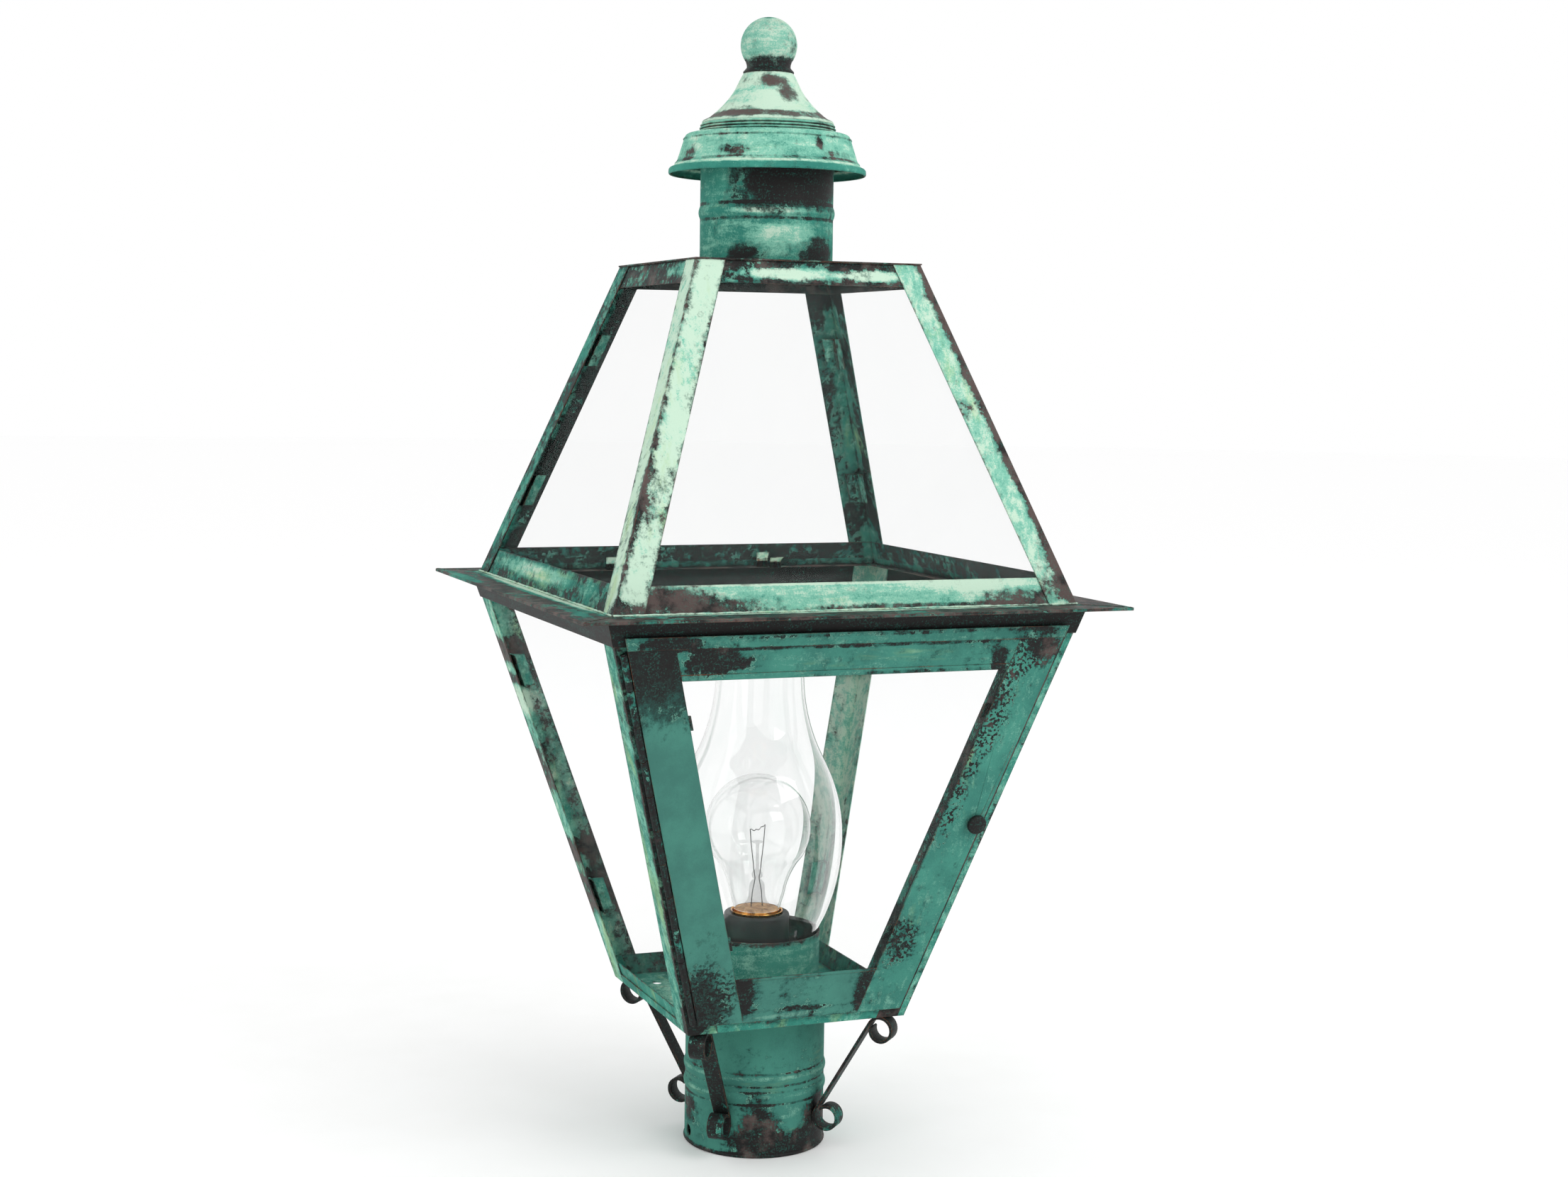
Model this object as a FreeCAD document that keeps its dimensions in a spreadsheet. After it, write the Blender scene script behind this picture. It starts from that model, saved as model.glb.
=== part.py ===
"""Colonial post lantern in sheet copper: a square tapered lantern on a round post sleeve.

Frame: millimetres, +Z up.  The origin is the centre of the sleeve's bottom rim, on the post's axis.
The door is on the -Y face and is hinged on the front-left corner (-X, -Y).
Every driving size is a cell of the "size" sheet, and the sub-parts are bound to those cells.
"""
import FreeCAD, Part
import math
import os

import Sketcher
from FreeCAD import Placement, Rotation, Vector

DRIVING_SIZES = [
    # sheet stock
    ("sheet", 0.8, "thickness of the copper sheet"),
    ("glass", 2.0, "thickness of the flat panes"),
    ("fit_gap", 0.15, "gap left between stacked sheets and panes"),
    # post sleeve
    ("sleeve_bore", 38.4, "radius inside the sleeve, for a 76.2 mm post"),
    ("rim_radius", 39.9, "outer radius of the rolled bottom rim"),
    ("rim_height", 2.4, "height of the rolled bottom rim"),
    ("bead_swell", 0.9, "how far a bead stands out of a tube"),
    ("lower_bead", 30.0, "underside of the sleeve's lower bead"),
    ("upper_bead", 40.0, "underside of the sleeve's upper bead"),
    ("bead_height", 6.0, "height of a sleeve bead"),
    ("screw_hole", 3.2, "radius of a set-screw hole"),
    ("screw_level", 7.2, "height of the set-screw holes"),
    # tapered body
    ("tray_level", 80.3, "underside of the tray"),
    ("tray_half", 62.9, "half width of the body at the tray's underside"),
    ("body_taper", 0.297, "growth of the body's half width per unit of height"),
    ("tray_floor", 1.0, "thickness of the tray's floor"),
    ("boss_rise", 3.6, "height of the boss pressed up in the middle of the tray"),
    ("boss_width", 11.0, "radius of the recess under the tray's boss"),
    ("tray_rim", 92.0, "top edge of the tray's walls"),
    ("tray_hem", 85.4, "top edge of the doubled hem round the tray"),
    ("vent_radius", 2.9, "radius of a vent hole in the tray"),
    ("vent_side", 45.2, "distance of a vent hole from the middle, across"),
    ("vent_depth", 39.4, "distance of a vent hole from the middle, along"),
    ("body_flange", 16.65, "level width of a corner bar's flange"),
    # eave
    ("eave_level", 310.6, "underside of the eave flange"),
    ("eave_half", 150.0, "half width of the eave flange"),
    ("eave_inner", 121.0, "half width of the opening in the eave flange"),
    ("eave_hem", 7.0, "width of the folded hem under the eave's edge"),
    ("skirt_level", 297.0, "bottom edge of the skirt under the eave"),
    # roof
    ("roof_level", 312.2, "foot of the roof bars"),
    ("roof_half", 128.4, "half width of the roof at its foot"),
    ("roof_taper", 0.359, "loss of the roof's half width per unit of height"),
    ("roof_flange", 16.3, "level width of a roof bar's flange"),
    ("rail_top", 326.2, "top edge of the roof rails"),
    ("crown_foot", 478.4, "bottom edge of the crown band"),
    ("crown_level", 490.7, "top edge of the crown band"),
    ("crown_half", 64.9, "half width of the crown plate"),
    # vent collar, hood and finial
    ("collar_radius", 36.9, "outer radius of the vent collar"),
    ("collar_foot", 484.0, "bottom edge of the vent collar"),
    ("collar_bead", 516.2, "underside of the collar's bead"),
    ("collar_bead_height", 7.0, "height of the collar's bead"),
    ("collar_top", 552.0, "top edge of the vent collar"),
    ("strap_width", 12.0, "width of a hood strap"),
    ("strap_foot", 532.0, "bottom of a hood strap"),
    ("strap_reach", 12.0, "length of a hood strap's top leg"),
    ("brim_radius", 54.7, "outer radius of the hood's rolled brim"),
    ("brim_level", 540.4, "underside of the hood's rolled brim"),
    ("brim_height", 3.6, "height of the rolled brim"),
    ("skirt_radius", 50.8, "radius of the hood's skirt above the brim"),
    ("skirt_foot", 546.6, "height of the hood's skirt above the brim"),
    ("shoulder_radius", 44.8, "radius of the hood's shoulder"),
    ("shoulder_level", 562.6, "height of the hood's shoulder"),
    ("ring_radius", 38.6, "radius of the hood's lower ring"),
    ("ring_level", 565.0, "height of the hood's lower ring"),
    ("step_radius", 37.4, "radius of the hood's upper ring"),
    ("hood_top", 568.8, "top of the hood's flat plate"),
    ("bell_radius", 36.4, "radius of the bell's foot"),
    ("bell_foot", 1.2, "height of the bell's upright foot"),
    ("bell_middle_radius", 21.7, "radius of the bell half way up"),
    ("bell_middle", 582.3, "height half way up the bell"),
    ("bell_flare", 52.0, "radius of the bell's lower curve"),
    ("bell_throat", 26.0, "radius of the bell's upper curve"),
    ("neck_radius", 13.8, "radius of the finial's neck ring"),
    ("neck_level", 596.4, "height of the finial's neck ring"),
    ("waist_radius", 12.6, "radius where the neck meets the ball"),
    ("ball_radius", 15.66, "radius of the finial ball"),
    ("ball_centre", 612.0, "height of the ball's centre"),
    ("bolt_radius", 3.0, "radius of the bolt that holds the finial"),
    ("bolt_tip", 604.0, "top of the finial's bolt"),
    ("nut_radius", 6.0, "corner radius of a hexagon nut"),
    ("nut_height", 4.0, "height of the finial's nut"),
    # door
    ("door_stand", 3.0, "how far the door's face stands out of the body"),
    ("door_foot", 86.0, "bottom edge of the door"),
    ("door_head", 301.8, "top edge of the door"),
    ("stile_width", 25.4, "level width of a door stile"),
    ("left_reveal", 5.5, "strip of the body left of the door"),
    ("right_reveal", 6.5, "strip of the body right of the door"),
    ("stile_return", 9.5, "depth of the flange on a stile's inner edge"),
    ("bottom_rail_top", 111.8, "top edge of the bottom rail"),
    ("top_rail_foot", 278.6, "bottom edge of the top rail"),
    ("lip_foot", 295.2, "bottom edge of the top rail's lip"),
    ("rail_hem", 3.2, "height of the folded hem on a door rail"),
    ("door_pane_foot", 103.0, "bottom edge of the door's pane"),
    ("door_pane_head", 289.0, "top edge of the door's pane"),
    # hinge
    ("hinge_offset", 3.3, "distance of the hinge's axis from the corner, across"),
    ("hinge_stand", 2.1, "distance of the hinge's axis from the corner, outwards"),
    ("knuckle_radius", 1.8, "outer radius of a hinge knuckle"),
    ("pin_radius", 0.9, "radius of the hinge pin"),
    ("pin_gap", 0.05, "running clearance round the hinge pin"),
    ("knuckle_length", 20.0, "length of a hinge knuckle"),
    ("knuckle_gap", 0.3, "end gap between two hinge knuckles"),
    ("hinge_start", 8.0, "length of hinge line below the first knuckle"),
    ("leaf_width", 8.0, "width of a hinge leaf"),
    ("leaf_sheet", 0.6, "thickness of a hinge leaf"),
    # latch
    ("knob_across", 85.3, "distance of the knob from the middle, across"),
    ("knob_level", 194.0, "height where the knob's axis meets the body's face"),
    ("knob_radius", 5.35, "radius of the knob"),
    ("knob_thickness", 3.4, "thickness of the knob"),
    ("knob_dome", 14.0, "radius of the knob's domed face"),
    ("spindle_radius", 1.5, "radius of the latch spindle"),
    ("spindle_gap", 0.08, "running clearance round the latch spindle"),
    ("collar_gap", 0.4, "gap between the knob's boss and the stile"),
    ("boss_radius", 2.6, "radius of the knob's boss"),
    ("boss_height", 1.2, "height of the knob's boss"),
    ("tongue_length", 9.0, "length of the latch tongue from its spindle"),
    ("tongue_width", 4.0, "width of the latch tongue"),
    ("tongue_sheet", 1.2, "thickness of the latch tongue"),
    ("tongue_gap", 0.5, "gap between the latched tongue and the bar"),
    ("notch_height", 6.0, "height of the notch in the bar for the tongue"),
    ("notch_reach", 89.0, "how far across the notch in the bar reaches"),
    # glazing
    ("pane_inset", 8.0, "distance of a pane's side edge from the corner"),
    ("pane_foot", 82.0, "bottom edge of a body pane"),
    ("pane_head", 306.0, "top edge of a body pane"),
    ("roof_pane_foot", 316.0, "bottom edge of a roof pane"),
    ("roof_pane_head", 486.0, "top edge of a roof pane"),
    ("clip_height", 18.0, "height of a glass clip"),
    ("clip_leg", 8.5, "length of a glass clip's leg"),
    ("clip_tab", 5.5, "depth of a glass clip's soldered tab"),
    ("body_clip_low", 118.0, "bottom of the lower body clips"),
    ("body_clip_high", 246.0, "bottom of the upper body clips"),
    ("roof_clip_low", 352.0, "bottom of the lower roof clips"),
    ("roof_clip_high", 434.0, "bottom of the upper roof clips"),
    ("door_clip_low", 128.0, "bottom of the lower door clips"),
    ("door_clip_high", 252.0, "bottom of the upper door clips"),
    ("door_clip_reach", 2.5, "how far a door clip reaches over the pane"),
    ("door_clip_height", 8.0, "height of a door clip"),
    # burner cup, chimney and lamp
    ("cup_radius", 35.5, "outer radius of the burner cup"),
    ("cup_sheet", 0.8, "thickness of the burner cup"),
    ("cup_top", 119.2, "top edge of the burner cup"),
    ("plate_level", 106.0, "underside of the socket plate"),
    ("plate_thickness", 1.5, "thickness of the socket plate"),
    ("chimney_foot", 107.9, "bottom edge of the chimney"),
    ("chimney_foot_radius", 34.1, "outer radius of the chimney's foot"),
    ("chimney_swell", 118.6, "height where the chimney starts to swell"),
    ("chimney_belly_radius", 47.5, "largest outer radius of the chimney"),
    ("chimney_belly", 172.0, "height of the chimney's largest radius"),
    ("chimney_turn_radius", 38.0, "outer radius where the chimney's curve turns"),
    ("chimney_turn", 213.0, "height where the chimney's curve turns"),
    ("chimney_neck_radius", 25.0, "outer radius of the chimney's neck"),
    ("chimney_neck", 258.0, "height of the chimney's neck"),
    ("chimney_top_radius", 23.5, "outer radius of the chimney's top edge"),
    ("chimney_top", 304.0, "top edge of the chimney"),
    ("chimney_glass", 1.6, "thickness of the chimney's glass"),
    ("lower_curve", 112.0, "radius of the chimney's lower curve"),
    ("upper_curve", 92.0, "radius of the chimney's upper curve"),
    ("neck_curve", 105.0, "radius of the curve into the chimney's neck"),
    ("socket_radius", 18.5, "outer radius of the lamp socket"),
    ("socket_top", 128.6, "top of the lamp socket"),
    ("socket_foot", 89.0, "underside of the lamp socket"),
    ("socket_waist", 16.5, "outer radius of the lamp socket below the plate"),
    ("socket_step", 107.5, "height of the step in the lamp socket"),
    ("socket_bore", 14.3, "radius inside the lamp socket"),
    ("socket_floor", 5.0, "thickness of the lamp socket's floor"),
    ("shell_bore", 13.5, "radius inside the brass screw shell"),
    ("shell_sheet", 0.5, "thickness of the brass screw shell"),
    ("shell_foot", 108.0, "bottom of the brass screw shell"),
    ("shell_top", 129.6, "top of the brass screw shell"),
    ("contact_radius", 4.0, "radius of the socket's centre contact"),
    ("contact_height", 7.5, "height of the socket's centre contact"),
    ("nipple_radius", 4.9, "outer radius of the threaded nipple"),
    ("nipple_bore", 3.6, "radius inside the threaded nipple"),
    ("nipple_foot", 80.5, "bottom of the threaded nipple"),
    ("nipple_top", 92.0, "top of the threaded nipple"),
    ("lock_nut_radius", 9.0, "corner radius of a lock nut"),
    ("lock_nut_height", 3.2, "height of a lock nut"),
    ("bulb_centre", 176.5, "height of the middle of the bulb's globe"),
    ("bulb_radius", 29.8, "radius of the bulb's globe"),
    ("bulb_glass", 0.8, "thickness of the bulb's glass"),
    ("bulb_shoulder_radius", 25.6, "radius where the globe runs into the neck"),
    ("bulb_neck_radius", 15.9, "radius of the bulb's neck"),
    ("bulb_neck", 139.0, "height of the bulb's neck"),
    ("bulb_neck_curve", 46.0, "radius of the curve down to the bulb's neck"),
    ("bulb_foot_radius", 13.0, "radius of the bulb's glass at its base"),
    ("bulb_foot", 130.4, "bottom of the bulb's glass"),
    ("base_radius", 13.15, "outer radius of the bulb's screw base"),
    ("base_foot", 110.5, "bottom of the bulb's screw base"),
    ("thread_pitch", 3.63, "pitch of the bulb's thread"),
    ("thread_depth", 0.7, "depth of the bulb's thread"),
    ("button_radius", 4.8, "radius of the bulb's bottom contact"),
    ("button_foot", 101.6, "bottom of the bulb's bottom contact"),
    ("stem_foot_radius", 9.0, "radius of the glass stem's flare"),
    ("stem_radius", 5.2, "radius of the glass stem"),
    ("stem_waist", 137.0, "height where the flare meets the stem"),
    ("stem_pinch", 146.0, "height of the stem's pinch"),
    ("stem_bead_radius", 3.6, "radius of the bead above the pinch"),
    ("stem_bead", 150.0, "height of the bead above the pinch"),
    ("stem_rod_radius", 1.3, "radius of the stem's glass rod"),
    ("stem_top", 168.4, "top of the stem's glass rod"),
    ("stem_button_radius", 3.0, "radius of the button on the glass rod"),
    ("wire_radius", 0.3, "radius of a support wire"),
    ("wire_foot", 1.9, "distance of a support wire from the middle, at the stem"),
    ("wire_spread", 4.7, "distance of a support wire from the middle, at its tip"),
    ("wire_top", 177.0, "height of the support wires' tips"),
    # scroll brackets
    ("strap", 1.6, "thickness of a bracket's strap"),
    ("bracket_width", 9.0, "width of a bracket's strap"),
    ("scroll_radius", 7.5, "outer radius of a bracket's scroll"),
    ("inner_scroll_radius", 6.6, "outer radius of the scroll's inner turn"),
    ("upper_scroll", 78.0, "distance of the upper scroll from the post's axis"),
    ("lower_scroll_level", 19.6, "height of the lower scroll's centre"),
]

QUARTER_TURN = 90.0
# Bearing of each bracket about the post; the front left one stands a little off its diagonal.
BRACKET_HEADINGS = {"front_left": 230.0, "front_right": 315.0, "back_right": 45.0, "back_left": 135.0}
HEXAGON_SIDES = 6
THREAD_TURNS = 5
HINGE_PAIRS = 5
CORNERS = ("front_left", "front_right", "back_right", "back_left")
SIDES = ("front", "right", "back", "left")
CLOCKWISE, COUNTERCLOCKWISE = -1, 1

document = FreeCAD.newDocument("post_lantern")
sheet = document.addObject("Spreadsheet::Sheet", "size")
for row, (alias, number, meaning) in enumerate(DRIVING_SIZES, start=1):
    sheet.set(f"A{row}", meaning)
    sheet.set(f"B{row}", str(number))
    sheet.setAlias(f"B{row}", alias)
document.recompute()

sub_parts = []


# ---------------------------------------------------------------- helpers

def number(expression):
    """The value that an expression over the sheet has now."""
    return float(sheet.evalExpression(str(expression)))


def wall(level):
    """Half width of the body at a height."""
    return f"(size.tray_half + ({level} - size.tray_level) * size.body_taper)"


def slope(level):
    """Half width of the roof at a height."""
    return f"(size.roof_half - ({level} - size.roof_level) * size.roof_taper)"


def new_body(label):
    body = document.addObject("PartDesign::Body", label)
    body.Label = label
    body.AllowCompound = True
    sub_parts.append(body)
    return body


def origin_feature(body, role):
    return next(feature for feature in body.Origin.OriginFeatures if feature.Role == role)


def new_sketch(body, name, plane="XY_Plane", level=None):
    sketch = body.newObject("Sketcher::SketchObject", name)
    sketch.AttachmentSupport = (origin_feature(body, plane), [""])
    sketch.MapMode = "FlatFace"
    if level is not None:
        sketch.setExpression("AttachmentOffset.Base.z", str(level))
    return sketch


def arc_between(start, end, radius, turn):
    """Arc geometry from start to end, turning the given way, always stored counterclockwise."""
    chord = end - start
    rise = math.sqrt(radius ** 2 - (chord.Length / 2) ** 2)
    left = Vector(-chord.y, chord.x, 0).normalize()
    centre = (start + end) / 2 + left * rise * turn
    first, last = (start, end) if turn == COUNTERCLOCKWISE else (end, start)
    begin_angle = math.atan2(first.y - centre.y, first.x - centre.x)
    end_angle = math.atan2(last.y - centre.y, last.x - centre.x)
    circle = Part.Circle(centre, Vector(0, 0, 1), radius)
    return Part.ArcOfCircle(circle, begin_angle, end_angle)


def draw_outline(sketch, corners):
    """Close an outline through corners (x, y) or, for an arc that arrives there, (x, y, radius, turn)."""
    offset = sketch.GeometryCount
    places = [Vector(number(corner[0]), number(corner[1]), 0) for corner in corners]
    ends = []
    for index, corner in enumerate(corners):
        start, end = places[index - 1], places[index]
        if len(corner) == 2:
            sketch.addGeometry(Part.LineSegment(start, end))
            ends.append((1, 2))
            continue
        radius, turn = corner[2:]
        sketch.addGeometry(arc_between(start, end, number(radius), turn))
        ends.append((1, 2) if turn == COUNTERCLOCKWISE else (2, 1))
    for index, corner in enumerate(corners):
        here, after = offset + index, offset + (index + 1) % len(corners)
        start_of_next = ends[(index + 1) % len(corners)][0]
        end_point = ends[index][1]
        sketch.addConstraint(Sketcher.Constraint("Coincident", here, end_point, after, start_of_next))
        for kind, value, expression in (
            ("DistanceX", places[index].x, corner[0]),
            ("DistanceY", places[index].y, corner[1]),
        ):
            bound = sketch.addConstraint(Sketcher.Constraint(kind, here, end_point, value))
            sketch.setExpression(f"Constraints[{bound}]", str(expression))
        if len(corner) == 4:
            bound = sketch.addConstraint(Sketcher.Constraint("Radius", here, number(corner[2])))
            sketch.setExpression(f"Constraints[{bound}]", str(corner[2]))


def draw_circle(sketch, across, along, radius):
    index = sketch.addGeometry(Part.Circle(Vector(number(across), number(along), 0),
                                           Vector(0, 0, 1), number(radius)))
    for kind, place, expression in (("DistanceX", 3, across), ("DistanceY", 3, along)):
        bound = sketch.addConstraint(Sketcher.Constraint(kind, index, place, number(expression)))
        sketch.setExpression(f"Constraints[{bound}]", str(expression))
    bound = sketch.addConstraint(Sketcher.Constraint("Radius", index, number(radius)))
    sketch.setExpression(f"Constraints[{bound}]", str(radius))


def loft(body, name, half, low, high, outline, feature="AdditiveLoft"):
    """A straight-sided solid between two heights, with outline(half width) as its level section."""
    sections = []
    for end, level in (("low", low), ("high", high)):
        sketch = new_sketch(body, f"{name}_{end}", level=level)
        draw_outline(sketch, outline(half(level)))
        sections.append(sketch)
    solid = body.newObject(f"PartDesign::{feature}", name)
    solid.Profile = sections[0]
    solid.Sections = [(sections[1], [""])]
    solid.Ruled = True
    return solid


def pad(body, name, corners, level, height):
    sketch = new_sketch(body, f"{name}_outline", level=level)
    draw_outline(sketch, corners)
    solid = body.newObject("PartDesign::Pad", name)
    solid.Profile = sketch
    solid.setExpression("Length", str(height))
    return solid


def drill(body, name, across, along, radius):
    """A round hole right through the body, along Z."""
    sketch = new_sketch(body, f"{name}_circle")
    draw_circle(sketch, across, along, radius)
    hole = body.newObject("PartDesign::Pocket", name)
    hole.Profile = sketch
    hole.Type = "ThroughAll"
    hole.Midplane = True
    return hole


def turned(label, outline):
    """A body turned about the Z axis from an outline of (radius, height) corners."""
    body = new_body(label)
    sketch = new_sketch(body, f"{label}_outline", "XZ_Plane")
    draw_outline(sketch, outline)
    solid = body.newObject("PartDesign::Revolution", f"{label}_turned")
    solid.Profile = sketch
    solid.ReferenceAxis = (sketch, ["V_Axis"])
    return body


def around(body, name, feature, count=4):
    """Repeat a feature round the Z axis."""
    pattern = body.newObject("PartDesign::PolarPattern", name)
    pattern.Originals = [feature]
    pattern.Axis = (origin_feature(body, "Z_Axis"), [""])
    pattern.Angle = 360
    pattern.Occurrences = count
    body.Tip = pattern
    return pattern


def about_z(quarter_turns):
    return Placement(Vector(), Rotation(Vector(0, 0, 1), QUARTER_TURN * quarter_turns))


def square(half):
    return [(f"-{half}", f"-{half}"), (half, f"-{half}"), (half, half), (f"-{half}", half)]


def corner_angle(width, sheet_size="size.sheet"):
    """Outline of an angle that wraps the front-left corner with two flanges."""
    def outline(half):
        outside = f"-{half}"
        inside = f"-{half} + {sheet_size}"
        edge = f"-{half} + {width}"
        return [(outside, outside), (edge, outside), (edge, inside),
                (inside, inside), (inside, edge), (outside, edge)]
    return outline


def mitred_strip(inset, thickness):
    """Outline of a front wall that is mitred at both corners."""
    def outline(half):
        outer = f"({half} - ({inset}))"
        inner = f"({half} - ({inset}) - ({thickness}))"
        return [(f"-{outer}", f"-{outer}"), (outer, f"-{outer}"),
                (inner, f"-{inner}"), (f"-{inner}", f"-{inner}")]
    return outline


def pane_outline(inset):
    """Outline of a pane on the front, with its outer face inset from the front plane."""
    def outline(half):
        side = f"({half} - size.pane_inset)"
        face = f"-({half} - ({inset}))"
        back = f"-({half} - ({inset}) - size.glass)"
        return [(f"-{side}", face), (side, face), (side, back), (f"-{side}", back)]
    return outline


# ---------------------------------------------------------------- post sleeve and tray

def tube_with_beads(inner, foot, top, beads, height):
    """Outline of a tube whose outer face carries raised round beads."""
    outer = f"{inner} + size.sheet"
    swell = "(size.bead_swell / 2 + ({0}) ^ 2 / (8 * size.bead_swell))".format(height)
    outline = [(inner, top), (inner, foot), (outer, foot)]
    for bead in beads:
        outline.append((outer, bead))
        outline.append((outer, f"{bead} + {height}", swell, COUNTERCLOCKWISE))
    outline.append((outer, top))
    return outline


def make_post_sleeve():
    outer = "size.sleeve_bore + size.sheet"
    outline = tube_with_beads("size.sleeve_bore", "0", "size.tray_level",
                              ("size.lower_bead", "size.upper_bead"), "size.bead_height")
    rolled_rim = [("size.rim_radius", "0"), ("size.rim_radius", "size.rim_height"),
                  (outer, "size.rim_height + (size.rim_radius - size.sleeve_bore - size.sheet)")]
    body = turned("post_sleeve", outline[:2] + rolled_rim + outline[3:])
    sketch = new_sketch(body, "set_screw_circle", "YZ_Plane")
    draw_circle(sketch, "0", "size.screw_level", "size.screw_hole")
    hole = body.newObject("PartDesign::Pocket", "set_screw_holes")
    hole.Profile = sketch
    hole.Type = "ThroughAll"
    hole.Midplane = True


def make_tray():
    body = new_body("tray")

    def inside_bars(half):
        return square(f"({half} - size.sheet)")

    def inside_walls(half):
        return square(f"({half} - 2 * size.sheet)")

    def hem(half):
        end = f"({half} - size.body_flange - size.fit_gap)"
        return [(f"-{end}", f"-{half}"), (end, f"-{half}"),
                (end, f"-({half} - size.sheet)"), (f"-{end}", f"-({half} - size.sheet)")]

    loft(body, "tray_outside", wall, "size.tray_level", "size.tray_rim", inside_bars)
    loft(body, "tray_inside", wall, "size.tray_level + size.tray_floor", "size.tray_rim", inside_walls,
         "SubtractiveLoft")
    strip = loft(body, "tray_hem_strip", wall, "size.tray_level", "size.tray_hem", hem)
    around(body, "tray_hem_strips", strip)
    press_boss(body)
    drill(body, "nipple_hole", "0", "0", "size.nipple_radius + size.fit_gap")
    vent = drill(body, "vent_hole", "-size.vent_side", "size.vent_depth", "size.vent_radius")
    around(body, "vent_holes", vent)


def press_boss(body):
    """Round boss in the tray's floor, whose recess takes the lower lock nut clear of the post."""
    boss = new_sketch(body, "boss_circle", level="size.tray_level")
    draw_circle(boss, "0", "0", "size.boss_width + size.tray_floor")
    raised = body.newObject("PartDesign::Pad", "boss")
    raised.Profile = boss
    raised.setExpression("Length", "size.boss_rise + size.tray_floor")
    recess = new_sketch(body, "recess_circle", level="size.tray_level + size.boss_rise")
    draw_circle(recess, "0", "0", "size.boss_width")
    hollow = body.newObject("PartDesign::Pocket", "boss_recess")
    hollow.Profile = recess
    hollow.setExpression("Length", "2 * size.boss_rise")


# ---------------------------------------------------------------- body, eave and roof frame

def make_corner_bars():
    for turns, corner in enumerate(CORNERS):
        body = new_body(f"corner_bar_{corner}")
        loft(body, f"angle_{corner}", wall, "size.tray_level", "size.eave_level",
             corner_angle("size.body_flange"))
        if corner == "front_right":
            cut_latch_notch(body)
        body.Placement = about_z(turns)


def cut_latch_notch(body):
    """Notch for the latch tongue; this bar's front flange is its left one before it is turned."""
    sketch = new_sketch(body, "latch_notch_outline", "YZ_Plane")
    low = "size.knob_level - size.notch_height / 2"
    high = "size.knob_level + size.notch_height / 2"
    open_end = "-(size.knob_across - size.knob_radius - size.body_flange / 2)"
    draw_outline(sketch, [("-size.notch_reach", low), (open_end, low),
                          (open_end, high), ("-size.notch_reach", high)])
    notch = body.newObject("PartDesign::Pocket", "latch_notch")
    notch.Profile = sketch
    notch.Type = "ThroughAll"
    notch.Midplane = True


def make_eave():
    flange = new_body("eave_flange")
    pad(flange, "eave_plate", square("size.eave_half"), "size.eave_level + size.sheet", "size.sheet")
    pad(flange, "eave_hem_plate", square("size.eave_half"), "size.eave_level", "size.sheet")
    hem_inner = pocket_square(flange, "eave_hem_inside", "size.eave_half - size.eave_hem",
                              "size.eave_level + size.sheet")
    hem_inner.setExpression("Length", "size.sheet")
    opening = pocket_square(flange, "eave_opening", "size.eave_inner", "size.roof_level")
    opening.setExpression("Length", "2 * size.sheet")

    skirt = new_body("eave_skirt")
    loft(skirt, "skirt_outside", wall, "size.skirt_level", "size.eave_level",
         lambda half: square(f"({half} + size.sheet + size.fit_gap)"))
    loft(skirt, "skirt_inside", wall, "size.skirt_level", "size.eave_level",
         lambda half: square(f"({half} + size.fit_gap)"), "SubtractiveLoft")


def pocket_square(body, name, half, level):
    """A square pocket that goes down from a height."""
    sketch = new_sketch(body, f"{name}_outline", level=level)
    draw_outline(sketch, square(f"({half})"))
    pocket = body.newObject("PartDesign::Pocket", name)
    pocket.Profile = sketch
    return pocket


def make_roof_frame():
    for turns, corner in enumerate(CORNERS):
        body = new_body(f"roof_bar_{corner}")
        loft(body, f"roof_angle_{corner}", slope, "size.roof_level", "size.crown_level",
             corner_angle("size.roof_flange"))
        body.Placement = about_z(turns)
    for turns, side in enumerate(SIDES):
        body = new_body(f"roof_rail_{side}")
        loft(body, f"rail_{side}", slope, "size.roof_level", "size.rail_top",
             mitred_strip("size.sheet", "size.sheet"))
        body.Placement = about_z(turns)
    band = new_body("crown_band")
    loft(band, "band_outside", slope, "size.crown_foot", "size.crown_level",
         lambda half: square(f"({half} - size.sheet)"))
    loft(band, "band_inside", slope, "size.crown_foot", "size.crown_level",
         lambda half: square(f"({half} - 2 * size.sheet)"), "SubtractiveLoft")
    plate = new_body("crown_plate")
    pad(plate, "crown_sheet", square("size.crown_half"), "size.crown_level", "size.sheet")
    drill(plate, "collar_opening", "0", "0", "size.collar_radius")


# ---------------------------------------------------------------- vent collar, hood and finial

def make_vent_collar():
    inner = "size.collar_radius - size.sheet"
    turned("vent_collar", tube_with_beads(inner, "size.collar_foot", "size.collar_top",
                                          ("size.collar_bead",), "size.collar_bead_height"))


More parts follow.
